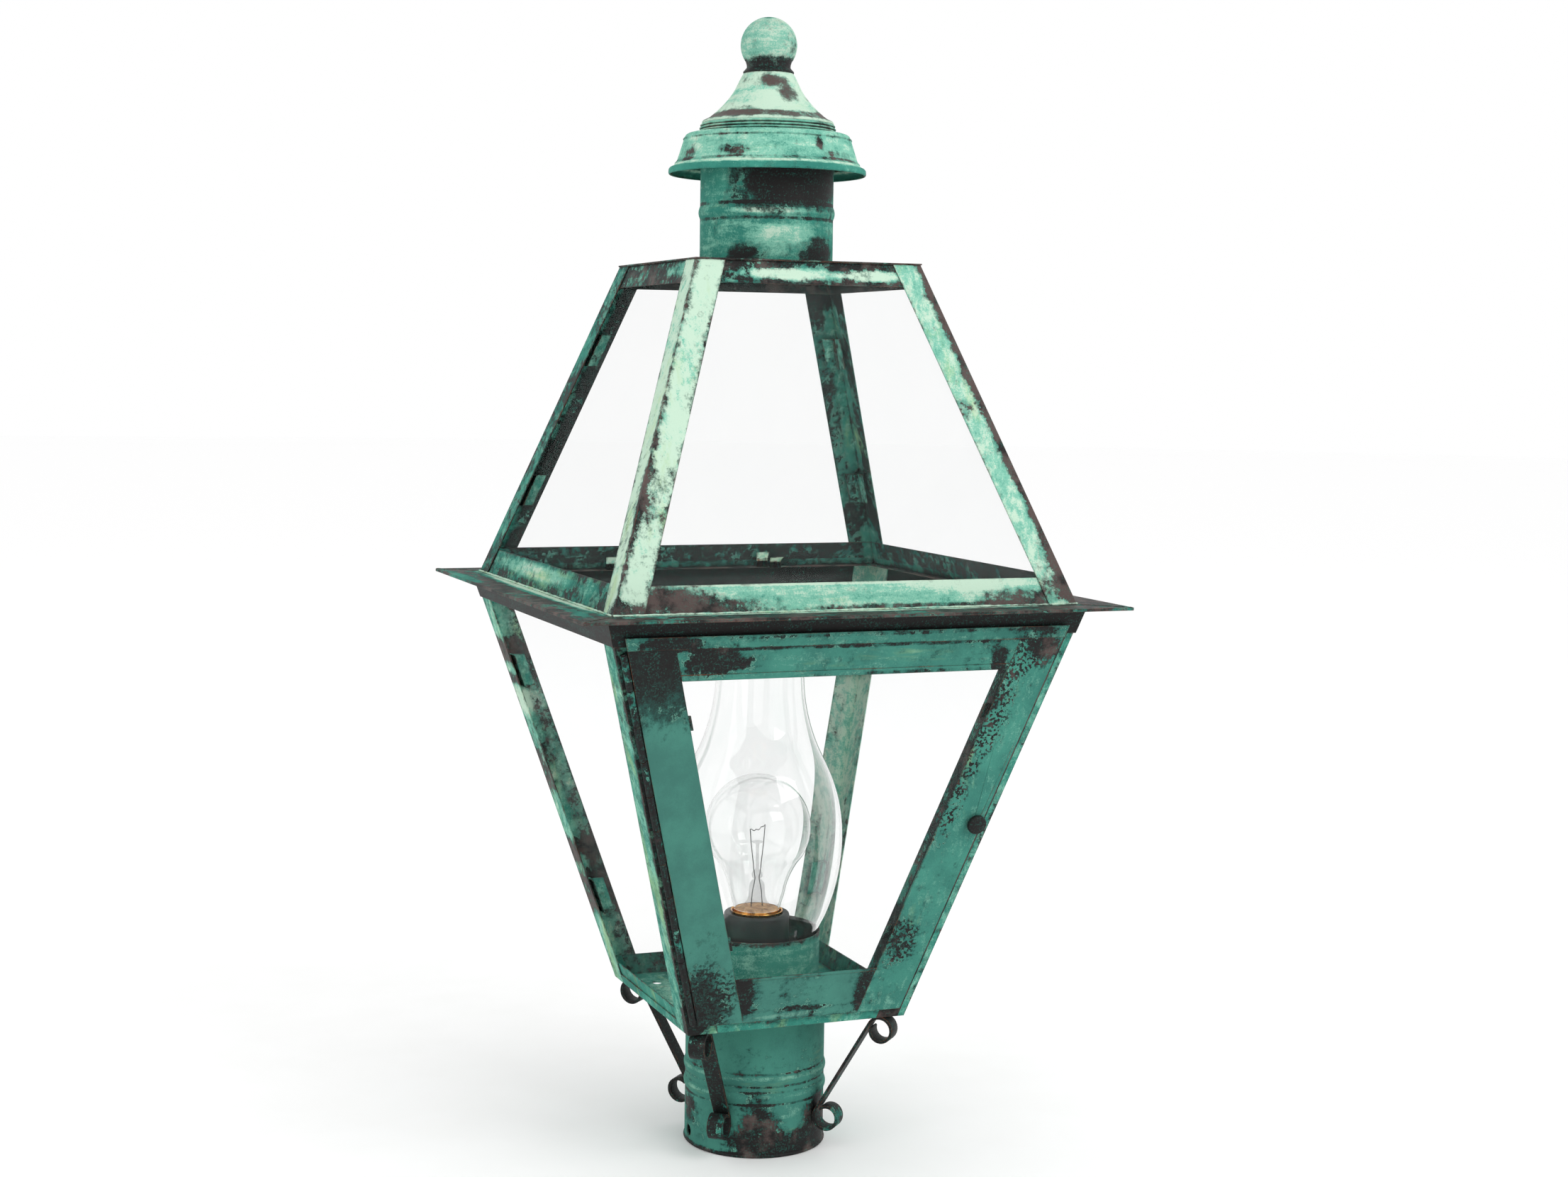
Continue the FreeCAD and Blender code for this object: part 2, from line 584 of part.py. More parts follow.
def make_vent_hood():
    hole = "size.bolt_radius + size.fit_gap"
    turned("vent_hood", [
        (hole, "size.hood_top"),
        (hole, "size.hood_top - size.sheet"),
        ("size.step_radius - size.sheet", "size.hood_top - size.sheet"),
        ("size.step_radius - size.sheet", "size.ring_level - size.sheet"),
        ("size.ring_radius - size.sheet", "size.ring_level - size.sheet"),
        ("size.shoulder_radius - size.sheet", "size.shoulder_level - size.sheet"),
        ("size.skirt_radius - size.sheet", "size.skirt_foot - size.sheet"),
        ("size.skirt_radius", "size.brim_level + size.brim_height - size.sheet"),
        ("size.brim_radius - 2 * size.sheet", "size.brim_level + size.brim_height - size.sheet"),
        ("size.brim_radius - 2 * size.sheet", "size.brim_level"),
        ("size.brim_radius", "size.brim_level"),
        ("size.brim_radius", "size.brim_level + size.brim_height"),
        ("size.skirt_radius", "size.skirt_foot"),
        ("size.shoulder_radius", "size.shoulder_level"),
        ("size.ring_radius", "size.ring_level"),
        ("size.step_radius", "size.ring_level + size.sheet"),
        ("size.step_radius", "size.hood_top"),
    ])


def make_hood_straps():
    body = new_body("hood_straps")
    face = "sqrt((size.collar_radius - size.sheet) ^ 2 - (size.strap_width / 2) ^ 2)"
    top = "size.hood_top - size.sheet"
    sketch = new_sketch(body, "strap_outline", "XZ_Plane")
    draw_outline(sketch, [
        (face, "size.strap_foot"),
        (face, top),
        (f"{face} - size.strap_reach", top),
        (f"{face} - size.strap_reach", f"{top} - size.sheet"),
        (f"{face} - size.sheet", f"{top} - size.sheet"),
        (f"{face} - size.sheet", "size.strap_foot"),
    ])
    strap = body.newObject("PartDesign::Pad", "hood_strap")
    strap.Profile = sketch
    strap.Midplane = True
    strap.setExpression("Length", "size.strap_width")
    around(body, "hood_strap_ring", strap, 3)


def make_cap_bell():
    turned("cap_bell", [
        ("size.bell_radius", "size.hood_top"),
        ("size.bell_radius", "size.hood_top + size.bell_foot"),
        ("size.bell_middle_radius", "size.bell_middle", "size.bell_flare", CLOCKWISE),
        ("size.neck_radius", "size.neck_level", "size.bell_throat", CLOCKWISE),
        ("size.bolt_radius + size.fit_gap", "size.neck_level"),
        ("size.bolt_radius + size.fit_gap", "size.neck_level - size.sheet"),
        ("size.neck_radius - size.sheet", "size.neck_level - size.sheet"),
        ("size.bell_middle_radius - size.sheet", "size.bell_middle - size.sheet",
         "size.bell_throat", COUNTERCLOCKWISE),
        ("size.bell_radius - size.sheet", "size.hood_top + size.bell_foot / 2",
         "size.bell_flare", COUNTERCLOCKWISE),
        ("size.bell_radius - size.sheet", "size.hood_top"),
    ])


def make_finial():
    meet = "size.ball_centre - sqrt(size.ball_radius ^ 2 - size.waist_radius ^ 2)"
    turned("finial_ball", [
        ("size.bolt_radius", "size.bolt_tip"),
        ("size.bolt_radius", "size.neck_level"),
        ("size.neck_radius", "size.neck_level"),
        ("size.neck_radius", "size.neck_level + size.sheet"),
        ("size.waist_radius", meet),
        ("size.ball_radius", "size.ball_centre", "size.ball_radius", COUNTERCLOCKWISE),
        ("0", "size.ball_centre + size.ball_radius", "size.ball_radius", COUNTERCLOCKWISE),
        ("0", "size.bolt_tip"),
    ])
    nut_top = "size.hood_top - size.sheet"
    nut_foot = f"{nut_top} - size.nut_height"
    bolt = turned("finial_bolt", [
        ("0", f"{nut_foot} - size.sheet"),
        ("size.bolt_radius", f"{nut_foot} - size.sheet"),
        ("size.bolt_radius", "size.bolt_tip"),
        ("0", "size.bolt_tip"),
    ])
    pad(bolt, "finial_nut", hexagon("size.nut_radius"), nut_foot, "size.nut_height")


def hexagon(radius):
    step = 360 / HEXAGON_SIDES
    return [(f"{radius} * cos({step * corner} deg)", f"{radius} * sin({step * corner} deg)")
            for corner in range(HEXAGON_SIDES)]


# ---------------------------------------------------------------- door

FACE = "size.door_stand"
BACK = "(size.door_stand - size.sheet)"


def stile_outline(side, reveal):
    """Outline of a stile's flat strip on the left (-1) or the right (1)."""
    def outline(half):
        outer = f"{side} * ({half} - {reveal})"
        inner = f"{side} * ({half} - {reveal} - size.stile_width)"
        face = f"-({half} + {FACE})"
        back = f"-({half} + {BACK})"
        return [(outer, face), (inner, face), (inner, back), (outer, back)]
    return outline


def return_outline(side, reveal):
    """Outline of the flange that is bent in at a stile's inner edge, beside the pane."""
    def outline(half):
        inner = f"{side} * ({half} - {reveal} - size.stile_width)"
        web = f"{side} * ({half} - {reveal} - size.stile_width + size.sheet)"
        face = f"-({half} + {FACE})"
        edge = f"-({half} + {FACE} - size.stile_return)"
        return [(inner, face), (web, face), (web, edge), (inner, edge)]
    return outline


def between_stiles(face, back):
    """Outline of a door strip that fills the width between the stiles."""
    def outline(half):
        left = f"-({half} - size.left_reveal - size.stile_width)"
        right = f"({half} - size.right_reveal - size.stile_width)"
        return [(left, f"-({half} + {face})"), (right, f"-({half} + {face})"),
                (right, f"-({half} + {back})"), (left, f"-({half} + {back})")]
    return outline


def over_stiles(half):
    """Outline of the lip along the door's head, which laps both stiles."""
    left = f"-({half} - size.left_reveal)"
    right = f"({half} - size.right_reveal)"
    face = f"-({half} + {FACE} + size.sheet)"
    back = f"-({half} + {FACE})"
    return [(left, face), (right, face), (right, back), (left, back)]


def make_door_frame():
    for name, side, reveal in (("left", -1, "size.left_reveal"), ("right", 1, "size.right_reveal")):
        stile = new_body(f"door_stile_{name}")
        loft(stile, f"{name}_strip", wall, "size.door_foot", "size.door_head", stile_outline(side, reveal))
        loft(stile, f"{name}_return", wall, "size.door_pane_foot", "size.door_pane_head",
             return_outline(side, reveal))
    drill_spindle_hole(stile)
    top = new_body("door_top_rail")
    loft(top, "top_rail_band", wall, "size.top_rail_foot", "size.door_head", between_stiles(FACE, BACK))
    loft(top, "top_rail_lip", wall, "size.lip_foot", "size.door_head", over_stiles)
    loft(top, "top_rail_hem", wall, "size.top_rail_foot", "size.top_rail_foot + size.rail_hem",
         between_stiles(f"{FACE} + size.sheet / 2", FACE))
    bottom = new_body("door_bottom_rail")
    loft(bottom, "bottom_rail_band", wall, "size.door_foot", "size.bottom_rail_top",
         between_stiles(FACE, BACK))
    loft(bottom, "bottom_rail_hem", wall, "size.bottom_rail_top - size.rail_hem / 2",
         "size.bottom_rail_top", between_stiles(f"{FACE} + size.sheet / 2", FACE))


def drill_spindle_hole(body):
    hole = body.newObject("PartDesign::SubtractiveCylinder", "spindle_hole")
    hole.setExpression("Radius", "size.spindle_radius + size.spindle_gap")
    hole.setExpression("Height", "3 * size.door_stand")
    hole.Placement = latch_frame()


def make_door_pane():
    def outline(half):
        left = f"-({half} - size.left_reveal - size.stile_width - size.fit_gap)"
        right = f"({half} - size.right_reveal - size.stile_width - size.fit_gap)"
        face = f"-({half} + {BACK} - size.fit_gap / 2)"
        back = f"-({half} + {BACK} - size.fit_gap / 2 - size.glass)"
        return [(left, face), (right, face), (right, back), (left, back)]

    loft(new_body("door_pane"), "door_glass", wall, "size.door_pane_foot", "size.door_pane_head", outline)


def make_door_clips():
    """Tabs soldered to the stiles' flanges, which hold the door's pane from behind."""
    body = new_body("door_glass_clips")

    def clip(side, reveal):
        def outline(half):
            inner = f"{side} * ({half} - {reveal} - size.stile_width)"
            reach = f"{side} * ({half} - {reveal} - size.stile_width - size.door_clip_reach)"
            face = f"-({half} + {BACK} - size.fit_gap - size.glass)"
            back = f"-({half} + {BACK} - size.fit_gap - size.glass - size.sheet)"
            return [(inner, face), (reach, face), (reach, back), (inner, back)]
        return outline

    for height, level in (("low", "size.door_clip_low"), ("high", "size.door_clip_high")):
        loft(body, f"left_clip_{height}", wall, level, f"{level} + size.door_clip_height",
             clip(-1, "size.left_reveal"))
        loft(body, f"right_clip_{height}", wall, level, f"{level} + size.door_clip_height",
             clip(1, "size.right_reveal"))


# ---------------------------------------------------------------- latch, on the face's normal

def latch_frame():
    """Frame on the body's face at the knob: Z' is the face's outward normal, X' is across."""
    taper = number("size.body_taper")
    normal = Vector(0, -1, -taper).normalize()
    across = Vector(1, 0, 0)
    place = Vector(number("size.knob_across"), -number(wall("size.knob_level")), number("size.knob_level"))
    return Placement(place, Rotation(across, normal.cross(across), normal))


def make_latch():
    lean = "sqrt(1 + size.body_taper ^ 2)"
    face = f"(size.door_stand / {lean})"
    behind = f"(size.sheet / {lean} + size.tongue_gap)"
    boss_foot = f"({face} + size.collar_gap)"
    disc_foot = f"({boss_foot} + size.boss_height)"
    edge_top = f"({disc_foot} + size.knob_thickness - size.knob_radius ^ 2 / (2 * size.knob_dome))"
    knob = turned("latch_knob", [
        ("0", f"-{behind}"),
        ("size.spindle_radius", f"-{behind}"),
        ("size.spindle_radius", boss_foot),
        ("size.boss_radius", boss_foot),
        ("size.boss_radius", disc_foot),
        ("size.knob_radius", disc_foot),
        ("size.knob_radius", edge_top),
        ("0", f"{edge_top} + size.knob_dome - sqrt(size.knob_dome ^ 2 - size.knob_radius ^ 2)",
         "size.knob_dome", COUNTERCLOCKWISE),
    ])
    knob.Placement = latch_frame()

    tongue = new_body("latch_tongue")
    pad(tongue, "tongue_plate", [
        ("-size.tongue_length", "-size.tongue_width / 2"),
        ("size.tongue_width / 2", "-size.tongue_width / 2"),
        ("size.tongue_width / 2", "size.tongue_width / 2"),
        ("-size.tongue_length", "size.tongue_width / 2"),
    ], f"-{behind} - size.tongue_sheet", "size.tongue_sheet")
    tongue.Placement = latch_frame()


# ---------------------------------------------------------------- hinge, along the front-left corner

def hinge_frame():
    """Frame at the foot of the hinge line: Z' runs up the line, X' lies in the door's plane."""
    taper = number("size.body_taper")
    level = number("size.tray_level")
    half = number("size.tray_half")
    place = Vector(-(half - number("size.hinge_offset")), -(half + number("size.hinge_stand")), level)
    line = Vector(-taper, -taper, 1).normalize()
    across = (Vector(1, 0, 0) - line * line.x).normalize()
    return Placement(place, Rotation(across, line.cross(across), line))


def hinge_levels(first, count):
    """Distances up the hinge line where every other knuckle starts."""
    step = "(size.knuckle_length + size.knuckle_gap)"
    return [f"size.hinge_start + {first + 2 * index} * {step}" for index in range(count)]


def add_knuckle(body, name, level, leaf_faces):
    """A knuckle and its leaf; leaf_faces are the leaf's distances from the axis, towards the lantern."""
    sketch = new_sketch(body, f"{name}_circle", level=level)
    draw_circle(sketch, "0", "0", "size.knuckle_radius")
    barrel = body.newObject("PartDesign::Pad", f"{name}_barrel")
    barrel.Profile = sketch
    barrel.setExpression("Length", "size.knuckle_length")
    outer, inner = leaf_faces
    pad(body, f"{name}_leaf",
        [("0", outer), ("size.leaf_width", outer), ("size.leaf_width", inner), ("0", inner)],
        level, "size.knuckle_length")


def make_hinge():
    """Knuckles of the frame's leaf and of the door's leaf take turns along one pin."""
    lean = "sqrt(1 + size.body_taper ^ 2)"
    stand = f"(size.hinge_stand / {lean})"
    stile_back = f"(-(size.door_stand - size.sheet - size.hinge_stand) / {lean})"
    frame_faces = (f"{stand} - size.leaf_sheet", stand)
    door_faces = (stile_back, f"{stile_back} + size.leaf_sheet")
    for label, first, count, faces in (("hinge_frame_leaf", 0, HINGE_PAIRS + 1, frame_faces),
                                       ("hinge_door_leaf", 1, HINGE_PAIRS, door_faces)):
        body = new_body(label)
        for index, level in enumerate(hinge_levels(first, count)):
            add_knuckle(body, f"{label}_{index}", level, faces)
        drill(body, f"{label}_bore", "0", "0", "size.pin_radius + size.pin_gap")
        body.Placement = hinge_frame()
    pin = new_body("hinge_pin")
    sketch = new_sketch(pin, "pin_circle", level="size.hinge_start - size.pin_radius")
    draw_circle(sketch, "0", "0", "size.pin_radius")
    rod = pin.newObject("PartDesign::Pad", "pin_rod")
    rod.Profile = sketch
    knuckles = 2 * HINGE_PAIRS + 1
    rod.setExpression("Length", f"{knuckles} * (size.knuckle_length + size.knuckle_gap) + size.pin_radius")
    pin.Placement = hinge_frame()


# ---------------------------------------------------------------- glazing

def make_panes():
    behind_walls = "2 * size.sheet + size.fit_gap"
    for turns, side in enumerate(SIDES):
        roof = new_body(f"roof_pane_{side}")
        loft(roof, f"roof_glass_{side}", slope, "size.roof_pane_foot", "size.roof_pane_head",
             pane_outline(behind_walls))
        roof.Placement = about_z(turns)
        if side == "front":
            continue
        pane = new_body(f"side_pane_{side}")
        loft(pane, f"side_glass_{side}", wall, "size.pane_foot", "size.pane_head",
             pane_outline(behind_walls))
        pane.Placement = about_z(turns)


def make_glass_clips():
    """Angle clips behind the panes' edges, each with a tab soldered into the corner of its bar."""
    body = new_body("glass_clips")
    stack = "2 * size.sheet + size.glass + 2 * size.fit_gap"

    def clip(half):
        return corner_angle("size.clip_leg")(f"({half} - ({stack}))")

    def tab(half):
        outer = f"-({half} - size.sheet)"
        inner = f"-({half} - size.clip_tab)"
        return [(outer, outer), (inner, outer), (inner, inner), (outer, inner)]

    for name, half, level in (
        ("body_clip_low", wall, "size.body_clip_low"),
        ("body_clip_high", wall, "size.body_clip_high"),
        ("roof_clip_low", slope, "size.roof_clip_low"),
        ("roof_clip_high", slope, "size.roof_clip_high"),
    ):
        top = f"{level} + size.clip_height"
        angle = loft(body, name, half, level, top, clip)
        around(body, f"{name}_ring", angle)
        solder = loft(body, f"{name}_tab", half, level, top, tab)
        around(body, f"{name}_tab_ring", solder)


# ---------------------------------------------------------------- burner cup, chimney and lamp

def make_burner_cup():
    floor = "size.tray_level + size.tray_floor"
    inner = "size.cup_radius - size.cup_sheet"
    turned("burner_cup", [(inner, "size.cup_top"), (inner, floor),
                          ("size.cup_radius", floor), ("size.cup_radius", "size.cup_top")])
    top = "size.plate_level + size.plate_thickness"
    turned("socket_plate", [("size.socket_waist", "size.plate_level"), (inner, "size.plate_level"),
                            (inner, top), ("size.socket_waist", top)])


def make_chimney():
    def side(inset):
        """The chimney's wall from its foot to its top edge, inset from the outer face."""
        return [
            (f"size.chimney_foot_radius - {inset}", "size.chimney_foot"),
            (f"size.chimney_foot_radius - {inset}", "size.chimney_swell"),
            (f"size.chimney_belly_radius - {inset}", "size.chimney_belly", "size.lower_curve",
             COUNTERCLOCKWISE),
            (f"size.chimney_turn_radius - {inset}", "size.chimney_turn", "size.upper_curve",
             COUNTERCLOCKWISE),
            (f"size.chimney_neck_radius - {inset}", "size.chimney_neck", "size.neck_curve", CLOCKWISE),
            (f"size.chimney_top_radius - {inset}", "size.chimney_top"),
        ]

    outer = side("0")
    inner = side("size.chimney_glass")
    back = [(corner[0], corner[1]) for corner in reversed(inner)]
    for index in range(1, len(back)):
        arriving = inner[len(inner) - index]
        if len(arriving) == 4:
            back[index] = back[index] + (arriving[2], -arriving[3])
    turned("chimney", outer + back)


def make_socket():
    plate_top = "size.socket_step"
    cavity = "size.socket_foot + size.socket_floor"
    turned("socket_housing", [
        ("size.nipple_radius", "size.socket_foot"),
        ("size.socket_waist", "size.socket_foot"),
        ("size.socket_waist", plate_top),
        ("size.socket_radius", plate_top),
        ("size.socket_radius", "size.socket_top"),
        ("size.socket_bore", "size.socket_top"),
        ("size.socket_bore", cavity),
        ("size.nipple_radius", cavity),
    ])
    shell_outer = "size.shell_bore + size.shell_sheet"
    turned("socket_shell", [
        ("size.shell_bore", "size.shell_foot"),
        (shell_outer, "size.shell_foot"),
        (shell_outer, "size.shell_top"),
        ("size.shell_bore", "size.shell_top"),
    ])
    turned("socket_contact", [
        ("0", cavity),
        ("size.nipple_radius + size.sheet", cavity),
        ("size.contact_radius", f"{cavity} + size.contact_height"),
        ("0", f"{cavity} + size.contact_height"),
    ])


def make_nipple():
    turned("nipple", [("size.nipple_bore", "size.nipple_foot"), ("size.nipple_radius", "size.nipple_foot"),
                      ("size.nipple_radius", "size.nipple_top"), ("size.nipple_bore", "size.nipple_top")])
    nuts = new_body("lock_nuts")
    recess = "size.tray_level + size.boss_rise"
    for name, level in (("lower_nut", f"{recess} - size.lock_nut_height"),
                        ("upper_nut", f"{recess} + size.tray_floor")):
        pad(nuts, name, hexagon("size.lock_nut_radius"), level, "size.lock_nut_height")
    drill(nuts, "lock_nut_bore", "0", "0", "size.nipple_radius")


def make_bulb():
    shoulder_drop = "sqrt(size.bulb_radius ^ 2 - size.bulb_shoulder_radius ^ 2)"
    inner_radius = "(size.bulb_radius - size.bulb_glass)"
    inner_shoulder = "(size.bulb_shoulder_radius - size.bulb_glass)"
    inner_drop = f"sqrt({inner_radius} ^ 2 - {inner_shoulder} ^ 2)"
    turned("bulb_glass", [
        ("0", f"size.bulb_centre + {inner_radius}"),
        (inner_radius, "size.bulb_centre", inner_radius, CLOCKWISE),
        (inner_shoulder, f"size.bulb_centre - {inner_drop}", inner_radius, CLOCKWISE),
        ("size.bulb_neck_radius - size.bulb_glass", "size.bulb_neck", "size.bulb_neck_curve",
         COUNTERCLOCKWISE),
        ("size.bulb_foot_radius - size.bulb_glass", "size.bulb_foot"),
        ("size.bulb_foot_radius", "size.bulb_foot"),
        ("size.bulb_neck_radius", "size.bulb_neck"),
        ("size.bulb_shoulder_radius", f"size.bulb_centre - {shoulder_drop}", "size.bulb_neck_curve",
         CLOCKWISE),
        ("size.bulb_radius", "size.bulb_centre", "size.bulb_radius", COUNTERCLOCKWISE),
        ("0", "size.bulb_centre + size.bulb_radius", "size.bulb_radius", COUNTERCLOCKWISE),
    ])
    make_bulb_base()
    make_stem()


def make_bulb_base():
    """The screw base, whose thread is a stack of rings at the thread's pitch."""
    valley = "size.base_radius - size.thread_depth"
    outline = [("size.button_radius + size.sheet", "size.bulb_foot"),
               ("size.button_radius + size.sheet", "size.base_foot"), (valley, "size.base_foot")]
    for turn in range(THREAD_TURNS):
        level = f"size.base_foot + {turn} * size.thread_pitch"
        outline.append(("size.base_radius", f"{level} + size.thread_pitch / 2"))
        outline.append((valley, f"{level} + size.thread_pitch"))
    outline.append((valley, "size.bulb_foot"))
    turned("bulb_base", outline)
    turned("bulb_contact", [
        ("0", "size.button_foot"),
        ("size.button_radius / 2", "size.button_foot"),
        ("size.button_radius", "size.button_foot + size.sheet"),
        ("size.button_radius + size.sheet", "size.base_foot"),
        ("size.button_radius + size.sheet", "size.base_foot + size.sheet"),
        ("0", "size.base_foot + size.sheet"),
    ])


def make_stem():
    turned("bulb_stem", [
        ("0", "size.bulb_foot"),
        ("size.stem_foot_radius", "size.bulb_foot"),
        ("size.stem_radius", "size.stem_waist"),
        ("size.stem_radius", "size.stem_pinch - size.stem_bead_radius"),
        ("size.stem_rod_radius", "size.stem_pinch"),
        ("size.stem_bead_radius", "size.stem_bead"),
        ("size.stem_rod_radius", "size.stem_bead + size.stem_bead_radius"),
        ("size.stem_rod_radius", "size.stem_top - size.sheet"),
        ("size.stem_button_radius", "size.stem_top - size.sheet"),
        ("size.stem_button_radius", "size.stem_top"),
        ("0", "size.stem_top"),
    ])
    tips = [Vector(side * number("size.wire_spread"), 0, number("size.wire_top")) for side in (-1, 1)]
    feet = [Vector(side * number("size.wire_foot"), 0, number("size.stem_bead")) for side in (-1, 1)]
    runs = [(feet[0], tips[0]), (feet[1], tips[1]), (tips[0], tips[1])]
    wires = [wire_between(f"bulb_wire_{index}", *run) for index, run in enumerate(runs)]
    group = document.addObject("Part::MultiFuse", "bulb_filament")
    group.Shapes = wires
    sub_parts.append(group)


def wire_between(name, start, end):
    wire = document.addObject("Part::Cylinder", name)
    wire.setExpression("Radius", "size.wire_radius")
    wire.Height = (end - start).Length
    wire.Placement = Placement(start, Rotation(Vector(0, 0, 1), end - start))
    return wire


# ---------------------------------------------------------------- scroll brackets

def scroll_path():
    """Centre line of a bracket in its own upright plane: x is out from the post, y is up.

    A scroll is an arc that starts where the straight run is tangent to it, followed by a tighter turn.
    """
    strap = number("size.strap")
    radius = number("size.scroll_radius") - strap / 2
    inner = number("size.inner_scroll_radius") - strap / 2
    sleeve = number("size.sleeve_bore + size.sheet")
    lower = Vector(sleeve + number("size.scroll_radius"), number("size.lower_scroll_level"), 0)
    upper = Vector(number("size.upper_scroll"),
                   number("size.tray_level") - number("size.scroll_radius"), 0)
    run = (upper - lower).normalize()
    outward = Vector(-run.y, run.x, 0)
    edges = [Part.LineSegment(lower + outward * radius, upper + outward * radius).toShape()]
    for centre, turn in ((lower, COUNTERCLOCKWISE), (upper, CLOCKWISE)):
        edges += scroll_arcs(centre, outward, radius, inner, turn)
    return Part.Wire(Part.__sortEdges__(edges))


def scroll_arcs(centre, start, radius, inner, turn):
    """Two tangent arcs that leave centre + start * radius and curl round almost to where they began."""
    wide_sweep, tight_sweep = 215.0, 125.0

    def spoke(angle):
        return Rotation(Vector(0, 0, 1), turn * angle).multVec(start)

    join = centre + spoke(wide_sweep) * radius
    inner_centre = centre + spoke(wide_sweep) * (radius - inner)
    wide = Part.Arc(centre + start * radius, centre + spoke(wide_sweep / 2) * radius, join)
    tight = Part.Arc(join, inner_centre + spoke(wide_sweep + tight_sweep / 2) * inner,
                     inner_centre + spoke(wide_sweep + tight_sweep) * inner)
    return [wide.toShape(), tight.toShape()]


def make_scroll_brackets():
    """Flat strap bent along the path, standing in the upright plane of each corner."""
    width = number("size.bracket_width")
    outline = Part.Face(scroll_path().makeOffset2D(number("size.strap") / 2))
    upright = Placement(Vector(0, 0, 0), Rotation(Vector(1, 0, 0), QUARTER_TURN))
    for corner, bearing in BRACKET_HEADINGS.items():
        bracket = document.addObject("Part::Feature", f"scroll_bracket_{corner}")
        strap = outline.extrude(Vector(0, 0, width))
        strap.translate(Vector(0, 0, -width / 2))
        bracket.Shape = strap
        heading = Rotation(Vector(0, 0, 1), bearing)
        bracket.Placement = Placement(Vector(), heading).multiply(upright)
        sub_parts.append(bracket)


# ---------------------------------------------------------------- build, check and write

def check_document():
    document.recompute()
    for item in document.Objects:
        if "Invalid" in item.State or "Error" in item.State:
            raise RuntimeError(f"{item.Name} failed: {item.State}")
    for item in sub_parts:
        if item.Shape.isNull() or not item.Shape.isValid() or not item.Shape.Solids:
            raise RuntimeError(f"{item.Label} has no valid solid")


def write_parts():
    os.makedirs("parts", exist_ok=True)
    for item in sub_parts:
        item.Shape.exportStep(f"parts/{item.Label}.step")
        box = item.Shape.BoundBox
        print(f"{item.Label}: {len(item.Shape.Solids)} solid(s), {item.Shape.Volume:.0f} mm3, "
              f"z {box.ZMin:.1f} to {box.ZMax:.1f}")


make_post_sleeve()
make_tray()
make_corner_bars()
make_eave()
make_roof_frame()
make_vent_collar()
make_vent_hood()
make_hood_straps()
make_cap_bell()
make_finial()
make_door_frame()
make_door_pane()
make_door_clips()
make_latch()
make_hinge()
make_panes()
make_glass_clips()
make_burner_cup()
make_chimney()
make_socket()
make_nipple()
make_bulb()
make_scroll_brackets()
check_document()
write_parts()
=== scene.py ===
"""Looks of a colonial post lantern: weathered sheet copper, clear glass, a bulb and its socket.

Everything is in metres, in the CAD frame: +Z up, the door on -Y, the origin under the post sleeve.
Points and sizes written in millimetres are turned into metres by mm().
"""
import math
import random

import bmesh
import bpy
from mathutils import Matrix, Vector, noise


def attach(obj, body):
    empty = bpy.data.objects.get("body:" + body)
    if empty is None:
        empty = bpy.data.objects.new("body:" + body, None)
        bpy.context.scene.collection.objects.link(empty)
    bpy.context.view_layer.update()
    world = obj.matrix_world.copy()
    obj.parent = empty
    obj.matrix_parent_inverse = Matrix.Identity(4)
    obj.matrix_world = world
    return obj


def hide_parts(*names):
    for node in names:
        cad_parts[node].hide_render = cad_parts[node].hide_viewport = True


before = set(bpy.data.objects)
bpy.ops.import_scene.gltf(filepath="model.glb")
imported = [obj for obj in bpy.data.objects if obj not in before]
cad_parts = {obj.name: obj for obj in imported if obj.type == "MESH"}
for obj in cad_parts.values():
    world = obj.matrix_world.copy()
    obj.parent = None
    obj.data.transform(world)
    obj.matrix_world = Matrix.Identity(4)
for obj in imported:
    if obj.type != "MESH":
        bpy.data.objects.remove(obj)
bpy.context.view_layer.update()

MM = 0.001
SHEET = 0.8 * MM
TURN = 2 * math.pi

# Corner bars, in millimetres: the level that they start from, the lantern's half width there, how that half
# width changes with height, and the width of a bar's flange.  The door stands proud of the body bars, and
# PITCH is that of the lamp's screw thread.
BODY_BARS = (80.3, 62.9, 0.297, 16.7)
ROOF_BARS = (312.2, 128.4, -0.359, 16.3)
BODY_TAPER = BODY_BARS[2]
DOOR_PROUD = 3.0
PITCH = 3.63

LANTERN, LATCH, CHIMNEY, BULB, BUTTON = "lantern", "latch", "chimney_glass", "bulb", "bulb_button"
COPPER_SLOT, BRASS_SLOT, GLASS_SLOT = "verdigris_copper", "lamp_brass", "clear_glass"
CORNERS = ("front_left", "front_right", "back_right", "back_left")
SIDES = ("front", "right", "back", "left")


def mm(*values):
    """A length or a point given in millimetres, in metres."""
    return values[0] * MM if len(values) == 1 else Vector(values) * MM


def paint(red, green, blue):
    """A colour given as it is seen, each part from 0 to 255, as the linear colour that a shader wants."""
    def linear(value):
        share = value / 255
        return share / 12.92 if share <= 0.04045 else ((share + 0.055) / 1.055) ** 2.4
    return (linear(red), linear(green), linear(blue), 1.0)


TEAL = paint(61, 140, 123)
SEA = paint(44, 118, 105)
DEEP_TEAL = paint(24, 66, 62)
MINT = paint(128, 190, 168)
PALE_MINT = paint(192, 214, 194)
LIME = paint(156, 186, 120)
CHARCOAL = paint(24, 23, 23)
BROWN = paint(80, 67, 64)
COPPER = paint(172, 102, 66)
DULL = paint(74, 92, 88)

# How far streaks are pulled out along each axis.
ALONG_Z = (1, 1, 5)
ROUND_ABOUT = (6, 6, 1)


# ---- shader nodes

